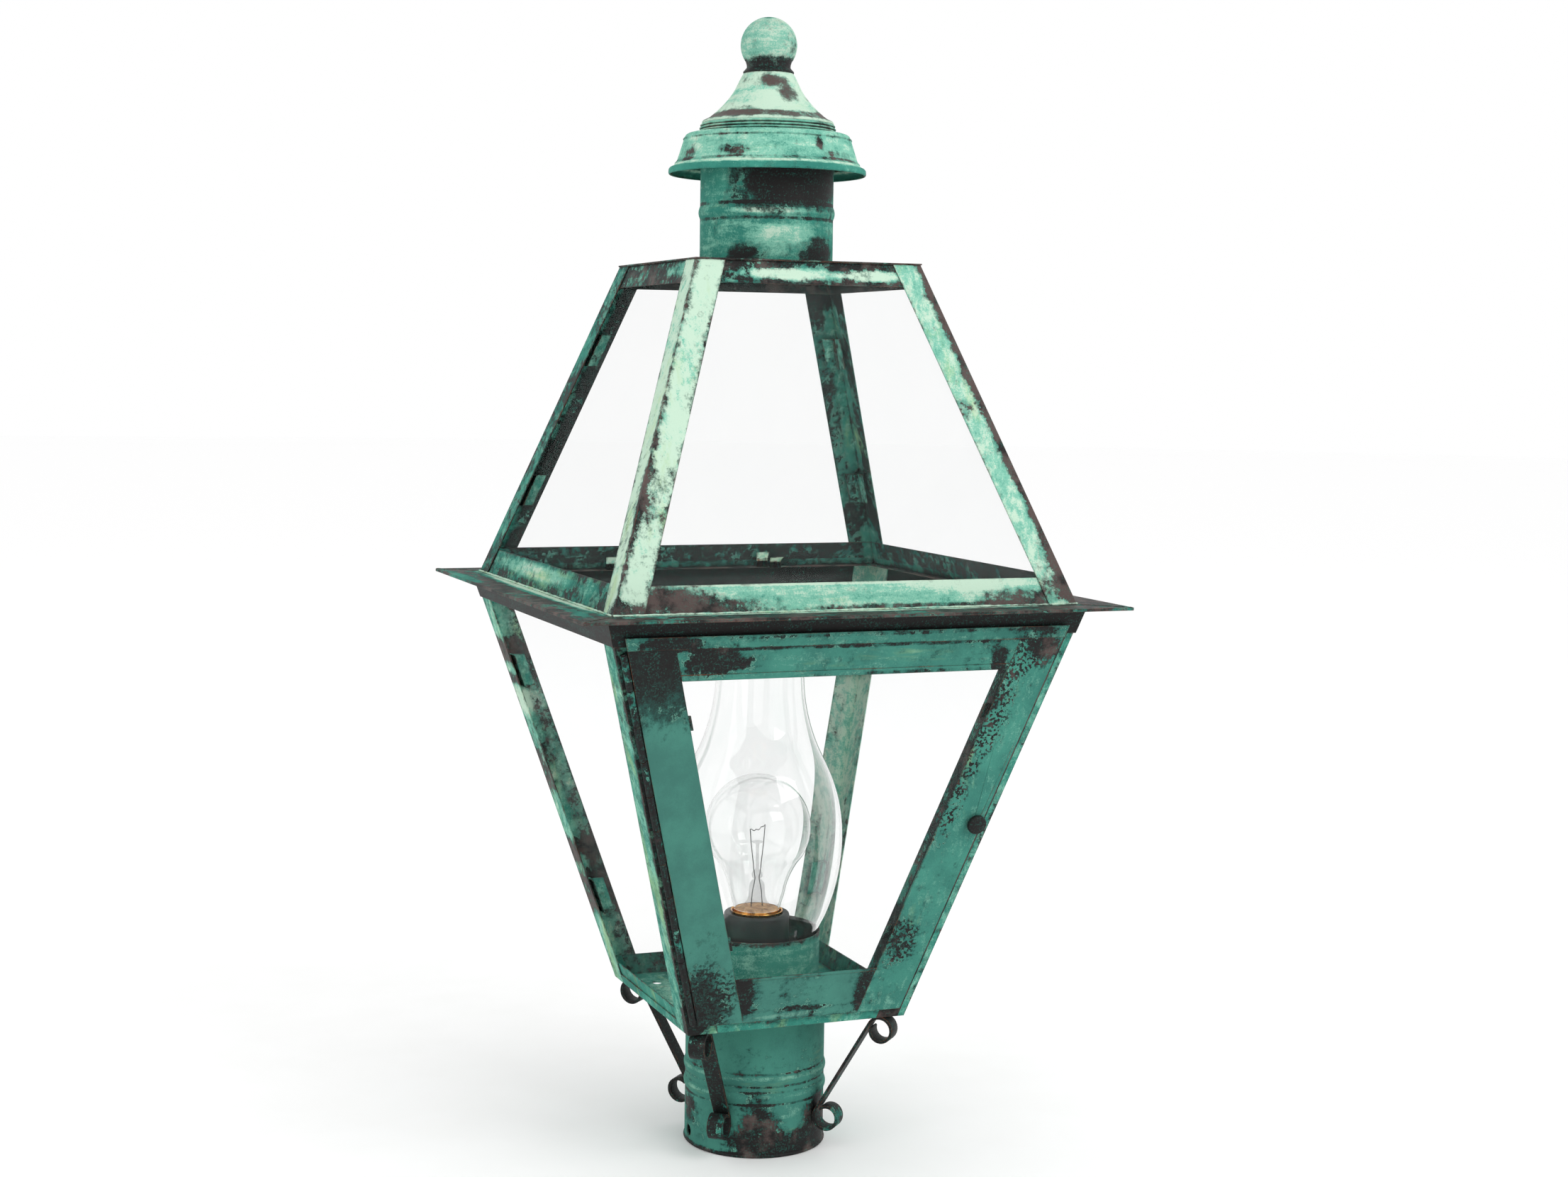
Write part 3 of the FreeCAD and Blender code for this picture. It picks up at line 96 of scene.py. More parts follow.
class Shader:
    """One material's node tree, with short calls for the nodes that the finishes share."""

    def __init__(self, name):
        self.material = bpy.data.materials.new(name)
        self.material.use_nodes = True
        self.tree = self.material.node_tree
        self.tree.nodes.clear()
        self.output = self.tree.nodes.new("ShaderNodeOutputMaterial")
        self.place = self.tree.nodes.new("ShaderNodeTexCoord").outputs["Object"]

    def feed(self, socket, value):
        if isinstance(value, bpy.types.NodeSocket):
            self.tree.links.new(value, socket)
        else:
            socket.default_value = value

    def node(self, kind, inputs=None, **settings):
        made = self.tree.nodes.new(f"ShaderNode{kind}")
        for key, value in settings.items():
            setattr(made, key, value)
        for key, value in (inputs or {}).items():
            self.feed(made.inputs[key], value)
        return made

    def math(self, operation, *values):
        made = self.node("Math", dict(enumerate(values)), operation=operation)
        return made.outputs[0]

    def times(self, value, factor):
        return self.math("MULTIPLY", value, factor)

    def add(self, *values):
        total = values[0]
        for value in values[1:]:
            total = self.math("ADD", total, value)
        return total

    def vector(self, operation, *values):
        made = self.node("VectorMath", dict(enumerate(values)), operation=operation)
        return made.outputs["Value" if operation in ("LENGTH", "DOT_PRODUCT") else "Vector"]

    def noise(self, size, stretch=(1, 1, 1), detail=4.0, rough=0.55, warp=0.0, shift=0.0):
        """Noise whose lumps are about size metres across, pulled out along each axis by stretch."""
        scale = [1 / (size * pull) for pull in stretch]
        place = self.vector("MULTIPLY_ADD", self.place, scale, (shift, shift * 1.7, shift * 0.6))
        made = self.node("TexNoise", {"Vector": place, "Scale": 1.0, "Detail": detail,
                                      "Roughness": rough, "Distortion": warp})
        return made.outputs["Fac"]

    def swing(self, strength, size, stretch=(1, 1, 1), **options):
        """Noise that swings about 0, by half its strength each way at the very most."""
        return self.math("MULTIPLY_ADD", self.noise(size, stretch, **options), strength, -strength / 2)

    def step(self, value, low, high):
        """0 below low, 1 above high, and a smooth slope between them."""
        made = self.node("MapRange", {"Value": value, "From Min": low, "From Max": high},
                         interpolation_type="SMOOTHSTEP")
        return made.outputs["Result"]

    def band(self, value, low, high):
        """1 between low and high, fading out over half that width on either side."""
        fade = (high - low) / 2
        return self.math("SUBTRACT", self.step(value, low - fade, low), self.step(value, high, high + fade))

    def mix(self, share, first, second):
        made = self.node("Mix", data_type="RGBA")
        for index, value in ((0, share), (6, first), (7, second)):
            self.feed(made.inputs[index], value)
        return made.outputs[2]

    def blot(self, centre, reach, amount):
        """A soft-edged spot of the given reach along each axis, in millimetres."""
        offset = self.vector("SUBTRACT", self.place, mm(*centre))
        scaled = self.vector("DIVIDE", offset, mm(*reach))
        far = self.vector("LENGTH", scaled)
        made = self.node("MapRange", {"Value": far, "From Min": 0.35, "From Max": 1.2,
                                      "To Min": amount, "To Max": 0.0},
                         interpolation_type="SMOOTHSTEP")
        return made.outputs["Result"]

    def blots(self, spots):
        return self.add(0.0, *(self.blot(*spot) for spot in spots))

    def edge(self, radius, low, high):
        """1 within about radius of a folded or cut edge, 0 on an even face."""
        bevel = self.node("Bevel", {"Radius": radius}, samples=4)
        flat = self.node("NewGeometry").outputs["Normal"]
        bend = self.vector("DOT_PRODUCT", bevel.outputs["Normal"], flat)
        return self.step(self.math("SUBTRACT", 1.0, bend), low, high)

    def crease_shade(self, reach):
        """Painted shade: 1 deep in a corner between surfaces, where ambient occlusion finds little open sky,
        0 in the open.
        """
        open_sky = self.node("AmbientOcclusion", {"Distance": reach}, samples=4).outputs["AO"]
        return self.step(self.math("SUBTRACT", 1.0, open_sky), 0.2, 0.75)

    def between(self, value, low, high, start=0.0, end=1.0):
        """low where value is start, high where it is end, and straight between them."""
        return self.node("MapRange", {"Value": value, "From Min": start, "From Max": end,
                                      "To Min": low, "To Max": high}).outputs["Result"]

    def bump(self, height, distance, strength):
        inputs = {"Height": height, "Distance": mm(distance), "Strength": strength}
        return self.node("Bump", inputs).outputs["Normal"]

    def principled(self, inputs):
        return self.node("BsdfPrincipled", inputs).outputs["BSDF"]

    def finish(self, shader):
        self.tree.links.new(shader, self.output.inputs["Surface"])
        return self.material


def half_width(bars, level):
    """Half the lantern's width, in metres, at a level of its body bars or its roof bars."""
    start, half, taper, _ = bars
    return mm(half) + (level - mm(start)) * taper


def bar_tarnish_and_shadow(bars, bend=0.1, edge=0.1, spread=0.3, door_shadow_at=None):
    """Tarnish at a bar's bend and along the free edges of its flanges, and a painted shadow where the closed
    door stands in front of it.

    spread is how far the tarnish at the bend reaches, as a share of the flange's width.  door_shadow_at is
    how far from the bend the door starts, in millimetres; from there on the flange is painted dark as the
    door's shadow.
    """
    start, half, taper, width = bars

    def stain(shader):
        across, along, height = shader.node("SeparateXYZ", {"Vector": shader.place}).outputs
        rise = shader.math("SUBTRACT", height, mm(start))
        side = shader.math("MULTIPLY_ADD", rise, taper, mm(half))
        inward = [shader.math("SUBTRACT", side, shader.math("ABSOLUTE", value)) for value in (across, along)]
        share = shader.math("DIVIDE", shader.math("MAXIMUM", *inward), mm(width))
        near = shader.times(shader.math("SUBTRACT", 1.0, shader.step(share, 0.03, spread)), bend)
        far = shader.times(shader.step(share, 0.75, 1.0), edge)
        if door_shadow_at is None:
            return shader.add(near, far)
        # painted shadow: the flange is darkened from where the closed door stands in front of it
        return shader.add(near, far, shader.step(share, (door_shadow_at - 0.3) / width, (door_shadow_at + 0.3) / width))
    return stain


def stile_return_darkening(amount):
    """Darkening on the flange that a door stile turns inwards, behind its face."""
    start, half, taper, _ = BODY_BARS

    def stain(shader):
        split = shader.node("SeparateXYZ", {"Vector": shader.place})
        rise = shader.math("SUBTRACT", split.outputs[2], mm(start))
        face = shader.math("MULTIPLY_ADD", rise, taper, mm(half + DOOR_PROUD))
        depth = shader.math("ADD", split.outputs[1], face)
        return shader.times(shader.step(depth, mm(0.7), mm(1.8)), amount)
    return stain


def inner_stain(radius, amount):
    """Tarnish on the inside of a turned part, nearer its axis than radius."""
    fade = 0.15

    def stain(shader):
        from_axis = shader.vector("LENGTH", shader.vector("MULTIPLY", shader.place, (1, 1, 0)))
        inside = shader.step(from_axis, mm(radius + fade), mm(radius - fade))
        return shader.times(inside, amount)
    return stain


def stile_spots(low, high, step, inset, amount):
    """Spots in a row up the right stile, at a given inset from its inner edge."""
    edge, face = 7.2, 42  # where lines up that edge and up the door's face would meet level 0
    return [((BODY_TAPER * z + edge + inset, -BODY_TAPER * z - face, z), (11, 12, step), amount)
            for z in range(low, high, step)]


def ring(level, width, amount):
    """A spot that runs right round a turned part at one level."""
    return (0, 0, level), (200, 200, width), amount


def patina(name, soot=0.0, bloom=0.0, lime=0.0, brown=0.5, stains=(), clear=(), bright=(), stipple=(),
           stain=None, run=ALONG_Z, seed=0.0, grain=1.0, cloud=0.7, soft=0.0, dull=0.0):
    """Weathered copper: verdigris over dark tarnish, with bare metal on the edges.

    soot, bloom and lime shift how much tarnish, pale crust and yellow-green shows, and brown is how warm the
    tarnish is.  stains, clear, stipple and bright are spots (centre, reach, amount): tarnish gathers
    at stains, which also holds painted shade in grooves beside beads and under lips and balls, leaves
    clear free and stands in dots at stipple, and crust gathers at bright, which also holds painted highlights
    on beads.  Corners and creases also get painted shade in the same dark colours, found by ambient
    occlusion.
    stain is a function that adds darkening by place: tarnish, and on one bar a painted shadow of the door.
    run is how far streaks are pulled out along each axis, grain how rough the surface is, cloud how uneven
    the crust is, soft how slowly tarnish fades out, and dull how grey the green is.
    """
    s = Shader(name)
    speck = s.noise(mm(1.0), detail=3, rough=0.7, shift=seed + 11)
    grit = s.swing(0.7, mm(0.9), detail=3, rough=0.75, shift=seed + 13)
    streaks = s.swing(1.2, mm(3.4), run, detail=6, rough=0.65, shift=seed + 3)

    tone = s.add(s.swing(1.0, mm(26), detail=6, rough=0.62, shift=seed + 7), s.times(grit, 0.4))
    green = s.mix(s.step(tone, -0.16, 0.16), SEA, TEAL)
    crust_drive = s.add(s.swing(1.6 * cloud, mm(24), detail=8, rough=0.7, shift=seed),
                        s.swing(1.2 * cloud, mm(5), detail=6, rough=0.7, shift=seed + 5),
                        s.times(streaks, 0.8), grit, bloom, s.blots(bright))
    green = s.mix(s.times(s.step(crust_drive, 0.0, 0.42), 0.92), green, MINT)
    green = s.mix(s.times(s.step(crust_drive, 0.38, 0.62), 0.85), green, PALE_MINT)
    lime_drive = s.add(s.swing(1.3, mm(16), run, detail=6, rough=0.65, shift=seed + 17), lime)
    green = s.mix(s.times(s.step(lime_drive, 0.12, 0.36), 0.5), green, LIME)
    green = s.mix(dull, green, DULL)

    # This drive sums real tarnish with painted shade, from the spots and from ambient occlusion in corners.
    tarnish_and_shade_drive = s.add(s.swing(2.2 * (1 - soft), mm(26), detail=9, rough=0.7, shift=seed + 23),
                       s.swing(2.3 * (1 - soft), mm(4.5), detail=7, rough=0.74, shift=seed + 27),
                       s.times(streaks, 0.7), grit, soot, s.blots(stains),
                       s.blots([(centre, reach, -amount) for centre, reach, amount in clear]),
                       s.times(s.edge(mm(1.5), 0.004, 0.12), 0.34),
                       # painted shade: ambient occlusion darkens corners and creases
                       s.times(s.crease_shade(mm(5)), 0.42))
    if stain:
        tarnish_and_shade_drive = s.add(tarnish_and_shade_drive, stain(s))
    if stipple:
        dots = s.step(s.noise(mm(1.7), detail=2, rough=0.5, shift=seed + 37), 0.47, 0.55)
        tarnish_and_shade_drive = s.add(tarnish_and_shade_drive, s.times(s.blots(stipple), dots))
    tarnish = s.step(tarnish_and_shade_drive, 0.24 - soft, 0.4 + soft)
    warm = s.step(s.add(s.swing(1.4, mm(12), detail=6, rough=0.65, shift=seed + 29), brown), 0.36, 0.66)
    dark = s.mix(warm, CHARCOAL, BROWN)
    dusted = s.step(s.add(speck, s.times(streaks, 0.5)), 0.52, 0.72)
    dark = s.mix(s.times(dusted, 0.36), dark, SEA)
    shade = s.times(s.step(tarnish_and_shade_drive, -0.2, 0.34), 0.72)
    green = s.mix(shade, green, DEEP_TEAL)
    patchy = s.step(s.swing(1.0, mm(9), detail=2, shift=seed + 31), 0.0, 0.08)
    rim = s.times(s.band(tarnish_and_shade_drive, 0.17, 0.23), patchy)
    green = s.mix(s.times(rim, 0.6), green, MINT)
    colour = s.mix(tarnish, green, dark)
    worn = s.step(s.add(streaks, s.times(grit, 1.2)), -0.12, 0.12)
    bare = s.times(s.edge(mm(0.5), 0.01, 0.16), worn)
    colour = s.mix(s.times(bare, 0.75), colour, s.mix(s.step(tone, -0.1, 0.1), COPPER, BROWN))

    rough = s.add(s.between(tarnish, 0.84, 0.55), s.times(grit, 0.3))
    lift = s.add(s.times(tarnish, -0.3), s.times(s.step(crust_drive, 0.1, 0.5), 0.3),
                 s.times(speck, 0.4), s.times(grit, 0.5), s.times(tone, 0.5))
    return s.finish(s.principled({"Base Color": colour, "Roughness": rough, "Metallic": s.times(bare, 0.5),
                                  "Normal": s.bump(lift, 0.35 * grain, 0.8), "Specular IOR Level": 0.18}))


def level_patina(name, **options):
    """Patina with its streaks level, on turned parts and on level rails."""
    return patina(name, run=ROUND_ABOUT, **options)


# ---- glass, plastic, brass and steel

def glass(name, tint, bend, wave, sheen):
    """Clear glass that lets light through to what stands behind it.

    bend is its refractive index, wave how uneven it was blown, in millimetres, and sheen how much it mirrors.
    """
    s = Shader(name)
    film = s.noise(mm(14), (1, 1, 2.4), detail=5, rough=0.6)
    clear = s.mix(s.times(s.step(film, 0.45, 0.75), 0.5), tint, (0.93, 0.96, 0.95, 1.0))
    ripple = s.noise(mm(26), (1, 1, 2), detail=1, rough=0.3)
    solid = s.principled({"Base Color": clear, "Roughness": 0.0, "IOR": bend, "Transmission Weight": 1.0,
                          "Normal": s.bump(ripple, wave, 0.25), "Specular IOR Level": sheen})
    open_way = s.node("BsdfTransparent", {"Color": (0.97, 0.98, 0.98, 1.0)})
    path = s.node("LightPath")
    lit = s.math("MAXIMUM", path.outputs["Is Shadow Ray"], path.outputs["Is Diffuse Ray"])
    both = s.node("MixShader", {0: lit, 1: solid, 2: open_way.outputs["BSDF"]})
    return s.finish(both.outputs["Shader"])


def thin_glass(name, body, film_low, film_high):
    """Glass so clean and thin that only a faint film of it shows; body is how much of it does."""
    s = Shader(name)
    film = s.noise(mm(16), (1, 1, 2.2), detail=6, rough=0.62)
    colour = s.mix(s.step(film, 0.35, 0.7), film_low, film_high)
    return s.finish(s.principled({"Base Color": colour, "Roughness": 0.06, "IOR": 1.5, "Alpha": body}))


def moulded_black(name):
    """Black moulded plastic with dust on its upper faces."""
    s = Shader(name)
    mottle = s.noise(mm(6), detail=6, rough=0.6)
    dust = s.noise(mm(0.6), detail=3, rough=0.7, shift=5)
    split = s.node("SeparateXYZ", {"Vector": s.node("NewGeometry").outputs["Normal"]})
    lying = s.times(s.step(split.outputs[2], 0.5, 0.95), s.step(dust, 0.45, 0.7))
    colour = s.mix(mottle, paint(22, 22, 24), paint(48, 47, 47))
    colour = s.mix(s.times(lying, 0.35), colour, paint(120, 116, 108))
    return s.finish(s.principled({"Base Color": colour, "Roughness": s.between(mottle, 0.38, 0.6),
                                  "Normal": s.bump(dust, 0.08, 0.5)}))


def lamp_metal(name, bright, dull, rough_low=0.18, rough_high=0.42):
    """Pressed lamp metal with drawing lines round it and dull spots."""
    s = Shader(name)
    lines = s.noise(mm(0.35), (30, 30, 1), detail=2, rough=0.5)
    spots = s.noise(mm(5), detail=7, rough=0.65, warp=0.5)
    colour = s.mix(s.step(s.add(spots, s.times(lines, 0.2)), 0.5, 0.78), bright, dull)
    rough = s.between(spots, rough_low, rough_high, 0.3, 0.75)
    return s.finish(s.principled({"Base Color": colour, "Roughness": rough, "Metallic": 1.0,
                                  "Normal": s.bump(lines, 0.05, 0.5)}))


def floor_paint(name):
    """Pale studio floor that brightens away from the lantern until it meets the backdrop's white."""
    s = Shader(name)
    far = s.vector("LENGTH", s.place)
    grain = s.noise(mm(40), detail=4, rough=0.5)
    pale = s.mix(grain, paint(246, 246, 245), paint(250, 250, 250))
    colour = s.mix(s.step(far, 0.25, 1.2), pale, paint(254, 254, 254))
    return s.finish(s.principled({"Base Color": colour, "Roughness": 0.9, "Specular IOR Level": 0.1}))


# ---- mesh tools

def add_object(name, data):
    made = bpy.data.objects.new(name, data)
    bpy.context.scene.collection.objects.link(made)
    return made


def add_mesh(name, verts, faces, body, material, sharp=35.0):
    """A smooth-shaded piece with hard edges where its faces turn by more than sharp degrees."""
    mesh = bpy.data.meshes.new(name)
    mesh.from_pydata([tuple(v) for v in verts], [], faces)
    mesh.validate()
    work = bmesh.new()
    work.from_mesh(mesh)
    bmesh.ops.remove_doubles(work, verts=work.verts, dist=1e-7)
    bmesh.ops.recalc_face_normals(work, faces=work.faces)
    work.to_mesh(mesh)
    work.free()
    mesh.shade_smooth()
    mesh.set_sharp_from_angle(angle=math.radians(sharp))
    piece = add_object(name, mesh)
    mesh.materials.append(material)
    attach(piece, body)
    return piece


def arc(centre, radius, start, end, steps=10):
    """Points (r, z) on an arc about centre, from one angle to another, in degrees."""
    angles = [math.radians(start + (end - start) * i / steps) for i in range(steps + 1)]
    return [(centre[0] + radius * math.cos(a), centre[1] + radius * math.sin(a)) for a in angles]


def rounded(points, radius, steps=4):
    """A line of (r, z) points with its inner corners rounded by arcs no larger than radius."""
    line = [Vector(p) for p in points]
    made = [line[0]]
    for before, here, after in zip(line, line[1:], line[2:]):
        back, on = before - here, after - here
        if back.length < 1e-9 or on.length < 1e-9:
            continue
        cut = min(radius, back.length * 0.45, on.length * 0.45)
        start, end = here + back.normalized() * cut, here + on.normalized() * cut
        for i in range(steps + 1):
            t = i / steps
            made.append(start.lerp(here, t).lerp(here.lerp(end, t), t))
    made.append(line[-1])
    return made


def flowing(points, steps=10):
    """A smooth line through points, as Catmull and Rom draw it."""
    line = [Vector(p) for p in points]
    line = [line[0] * 2 - line[1]] + line + [line[-1] * 2 - line[-2]]
    made = []
    for a, b, c, d in zip(line, line[1:], line[2:], line[3:]):
        for i in range(steps):
            t = i / steps
            made.append(0.5 * ((2 * b) + (c - a) * t + (2 * a - 5 * b + 4 * c - d) * t ** 2
                               + (3 * b - a - 3 * c + d) * t ** 3))
    made.append(line[-2])
    return made


def hoop(first, second, around):
    """Faces between two closed rows of verts, given by the number of their first vert."""
    following = [*range(1, around), 0]
    return [(first + k, first + m, second + m, second + k) for k, m in enumerate(following)]


def spin(profile, closed=True, around=160, dent=0.0, seed=0):
    """Verts and faces of a profile of (r, z) points turned about Z; dent is how uneven the sheet is."""
    round_pace, rise_pace = 1.6, 40
    verts, faces = [], []
    for r, z in profile:
        for k in range(around):
            a = TURN * k / around
            out = 0.0
            if dent:
                around_axis = (math.cos(a) * round_pace, math.sin(a) * round_pace)
                out = dent * noise.noise(Vector((*around_axis, z * rise_pace + seed)))
            verts.append(((r + out) * math.cos(a), (r + out) * math.sin(a), z) if r > 1e-6 else (0, 0, z))
    count = len(profile)
    for i in range(count if closed else count - 1):
        faces += hoop(i * around, (i + 1) % count * around, around)
    return verts, faces


def shell(outer, thickness):
    """A closed profile: a line of (r, z) points and the same line moved inwards by the thickness."""
    line = [Vector(p) for p in outer]
    inner = []
    for i, here in enumerate(line):
        run = (line[min(i + 1, len(line) - 1)] - line[max(i - 1, 0)]).normalized()
        inner.append(here + Vector((-run.y, run.x)) * thickness)
    inner = [Vector((max(p.x, 0.0), p.y)) for p in inner]
    return line + inner[::-1]


def lathe(name, profile, body, slot, material, replaces=(), sharp=35.0, **options):
    """A turned piece, in place of the CAD nodes that it replaces."""
    verts, faces = spin(profile, **options)
    piece = add_mesh(name, verts, faces, body, material, sharp)
    if replaces:
        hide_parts(*replaces)
    return piece


def turned_copper(name, profile, material, replaces=(), **options):
    return lathe(name, profile, LANTERN, COPPER_SLOT, material, replaces, **options)


def tube(points, radius, sides=8, wander=0.0, seed=0, flat=1.0):
    """Verts and faces of a closed tube along a line; wander makes its thickness uneven."""
    draw = random.Random(seed)
    line = [Vector(p) for p in points]
    verts, faces = [], []
    for i, here in enumerate(line):
        run = (line[min(i + 1, len(line) - 1)] - line[max(i - 1, 0)]).normalized()
        side = run.cross(Vector((0, 0, 1)) if abs(run.z) < 0.9 else Vector((1, 0, 0))).normalized()
        up = side.cross(run)
        size = radius * (1 + wander * draw.uniform(-1, 1))
        for k in range(sides):
            a = TURN * k / sides
            verts.append(here + side * size * math.cos(a) + up * size * flat * math.sin(a))
        if i:
            faces += hoop((i - 1) * sides, i * sides, sides)
    faces.append(tuple(range(sides)))
    faces.append(tuple(len(verts) - 1 - k for k in range(sides)))
    return verts, faces


def joined(parts):
    """Several (verts, faces) pairs as one."""
    verts, faces = [], []
    for part_verts, part_faces in parts:
        start = len(verts)
        verts += list(part_verts)
        faces += [tuple(start + i for i in face) for face in part_faces]
    return verts, faces


def quarter(points, turns):
    """Points turned about Z by a number of quarter turns."""
    return [Matrix.Rotation(TURN / 4 * turns, 3, "Z") @ Vector(p) for p in points]


def divided(start, end, steps):
    """Evenly spaced points on a straight line."""
    return [Vector(start).lerp(Vector(end), i / steps) for i in range(steps + 1)]


# ---- finishes
# The places of all spots are in millimetres, in the CAD frame.

CLEAR_GLASS = thin_glass("pane_glass", 0.02, paint(120, 140, 134), paint(150, 164, 160))
CHIMNEY_GLASS = glass("chimney_glass", (0.99, 0.994, 0.992, 1.0), bend=1.45, wave=0.12, sheen=0.3)
BULB_GLASS = glass("bulb_glass", (0.99, 0.99, 0.99, 1.0), bend=1.4, wave=0.04, sheen=0.3)
STEM_GLASS = thin_glass("stem_glass", 0.2, paint(110, 110, 112), paint(176, 176, 174))
PHENOLIC = moulded_black("black_phenolic")
BRASS = lamp_metal("lamp_brass", paint(236, 176, 92), paint(172, 108, 46))
NICKEL = lamp_metal("solder_tip", paint(176, 176, 172), paint(110, 108, 104), 0.3, 0.55)
WIRE = lamp_metal("lamp_wire", paint(92, 90, 88), paint(40, 38, 38), 0.3, 0.5)

# The thin rings at levels 29.6, 36.5, 39.6 and 46.6 are painted shade in the grooves beside the two beads,
# and the bright rings at 34.2 and 44.2 painted highlights on the beads.
SLEEVE = level_patina(
    "sleeve_patina", soot=-0.34, bloom=-0.26, lime=0.04, brown=0.42, seed=1.0, cloud=0.6, dull=0.3,
    stains=[((28, -29, 13), (20, 20, 21), 1.2), ((6, -39, 7), (19, 10, 9), 1.0),
            ((-13, -37, 16), (17, 10, 20), 0.85), ((-22, -33, 6), (14, 12, 9), 0.7),
            ((-39, 2, 22), (6, 12, 13), 0.8), ((-37, -9, 50), (6, 9, 6), 0.55),
            ((30, 26, 16), (20, 20, 20), 0.8), ((-20, 34, 60), (16, 12, 14), 0.5),
            ring(0.4, 2.6, 0.85), ring(29.6, 1.0, 0.6), ring(36.5, 0.9, 0.48), ring(39.6, 1.0, 0.6),
            ring(46.6, 0.9, 0.45)],
    bright=[((6, -39, 25), (18, 8, 6), 0.42), ring(34.2, 1.5, 0.34), ring(44.2, 1.6, 0.4)])
BRACKET = patina("bracket_patina", soot=0.6, bloom=-0.2, brown=0.2, seed=2.0, grain=0.6)
TRAY = patina(
    "tray_patina", soot=-0.24, lime=0.08, brown=0.5, seed=3.0,
    stains=[((0, -66, 84), (70, 3, 1.6), 0.44), ((-62, -66, 84), (10, 9, 6), 0.78),
            ((60, -66, 84), (10, 6, 5), 0.39)],
    bright=[((-40, 0, 81.5), (20, 50, 3), 0.39)])
CUP = level_patina("cup_patina", soot=-0.7, bloom=0.12, seed=4.0, cloud=0.5,
                   stain=inner_stain(35.1, 1.4), stains=[ring(118.6, 4.0, 1.0)])
NEAR_BAR = patina(
    "near_bar_patina", soot=-0.12, bloom=0.2, lime=0.14, brown=0.3, seed=5.0,
    stain=bar_tarnish_and_shadow(BODY_BARS, bend=0.6, edge=0.05),
    stains=[((-60, -66, 86), (12, 12, 14), 0.8), ((-96, -104, 200), (6, 8, 60), 0.26)])
# The right bar gets a painted shadow where the closed door's stile stands in front of its flange.
RIGHT_BAR = patina(
    "right_bar_patina", soot=-0.2, bloom=0.16, seed=6.0, cloud=0.5,
    stain=bar_tarnish_and_shadow(BODY_BARS, bend=0.2, edge=0.05, door_shadow_at=4.0))
LEFT_BAR = patina(
    "left_bar_patina", soot=-0.24, bloom=0.3, lime=0.16, seed=7.0,
    stain=bar_tarnish_and_shadow(BODY_BARS, bend=0.2, edge=0.1),
    stains=[((-117, 112, 267), (20, 40, 9), 1.0), ((-113, 106, 251), (20, 40, 4), 0.7),
            ((-98, 90, 200), (10, 40, 22), 0.6), ((-84, 80, 153), (20, 40, 9), 1.0),
            ((-79, 76, 130), (20, 40, 16), 0.7)],
    bright=[((-109, 100, 238), (20, 40, 9), 0.4)])
FAR_BAR = patina("far_bar_patina", soot=-0.62, bloom=0.5, lime=-0.04, seed=8.0,
                 stain=bar_tarnish_and_shadow(BODY_BARS, bend=0.1, edge=0.1))
SKIRT = level_patina("skirt_patina", soot=0.85, bloom=-0.1, brown=0.16, seed=9.0)
EAVE = level_patina(
    "eave_patina", soot=0.5, brown=0.5, seed=10.0,
    bright=[((0, -130, 312), (136, 4, 3), 0.91), ((-130, 0, 312), (4, 136, 3), 1.04)],
    clear=[((0, -130, 312), (136, 4.5, 3), 0.72), ((-131, 0, 312), (6, 136, 3), 0.98),
           ((-147, 90, 312), (5, 50, 3), 0.65), ((-140, -100, 312), (5, 40, 3), 0.39)])
RAIL_FRONT = level_patina(
    "front_rail_patina", soot=-0.36, bloom=0.4, brown=0.52, seed=11.0, grain=0.7, cloud=0.45, soft=0.1,
    stains=[((-104, -127, 319), (46, 6, 16), 1.1), ((-56, -127, 316), (30, 6, 6), 0.4),
            ((40, -127, 313.2), (90, 6, 2.6), 0.8), ((98, -127, 317), (34, 6, 6), 0.9)],
    bright=[((64, -125, 324), (44, 5, 4), 0.4), ((0, -125, 326), (110, 5, 1.2), 0.5)])
RAIL_LEFT = level_patina(
    "left_rail_patina", soot=0.24, bloom=0.1, lime=0.16, brown=0.25, seed=12.0,
    bright=[((-125, 26, 321), (6, 80, 5), 0.4)],
    clear=[((-125, 26, 321), (6, 80, 6), 0.6), ((-125, -72, 321), (6, 16, 6), 0.5)])
RAIL_BACK = level_patina("back_rail_patina", soot=0.06, brown=0.25, seed=13.0)
ROOF_NEAR = patina(
    "near_roof_bar_patina", soot=-0.32, bloom=0.66, lime=0.1, brown=0.5, seed=14.0, cloud=0.6,
    stain=bar_tarnish_and_shadow(ROOF_BARS, bend=0.6, edge=0.4),
    stains=[((-104, -108, 372), (12, 12, 26), 0.45), ((-124, -127, 314), (16, 16, 7), 0.6)])
ROOF_RIGHT = patina(
    "right_roof_bar_patina", soot=-0.34, bloom=0.46, lime=0.06, brown=0.6, seed=15.0, cloud=0.5,
    stain=bar_tarnish_and_shadow(ROOF_BARS, bend=1.2, edge=0.1, spread=0.5),
    stains=[((120, -124, 320), (16, 12, 8), 0.5), ((79, -92, 414), (5, 6, 8), 0.5)])
ROOF_LEFT = patina(
    "left_roof_bar_patina", soot=0.16, bloom=0.06, brown=0.25, seed=16.0,
    stain=bar_tarnish_and_shadow(ROOF_BARS, bend=0.1, edge=0.2))
ROOF_FAR = patina(
    "far_roof_bar_patina", soot=-0.16, bloom=0.06, lime=0.1, brown=0.25, seed=17.0,
    stains=[((112, 112, 346), (14, 14, 15), 0.7), ((62, 62, 474), (14, 14, 10), 0.8)])
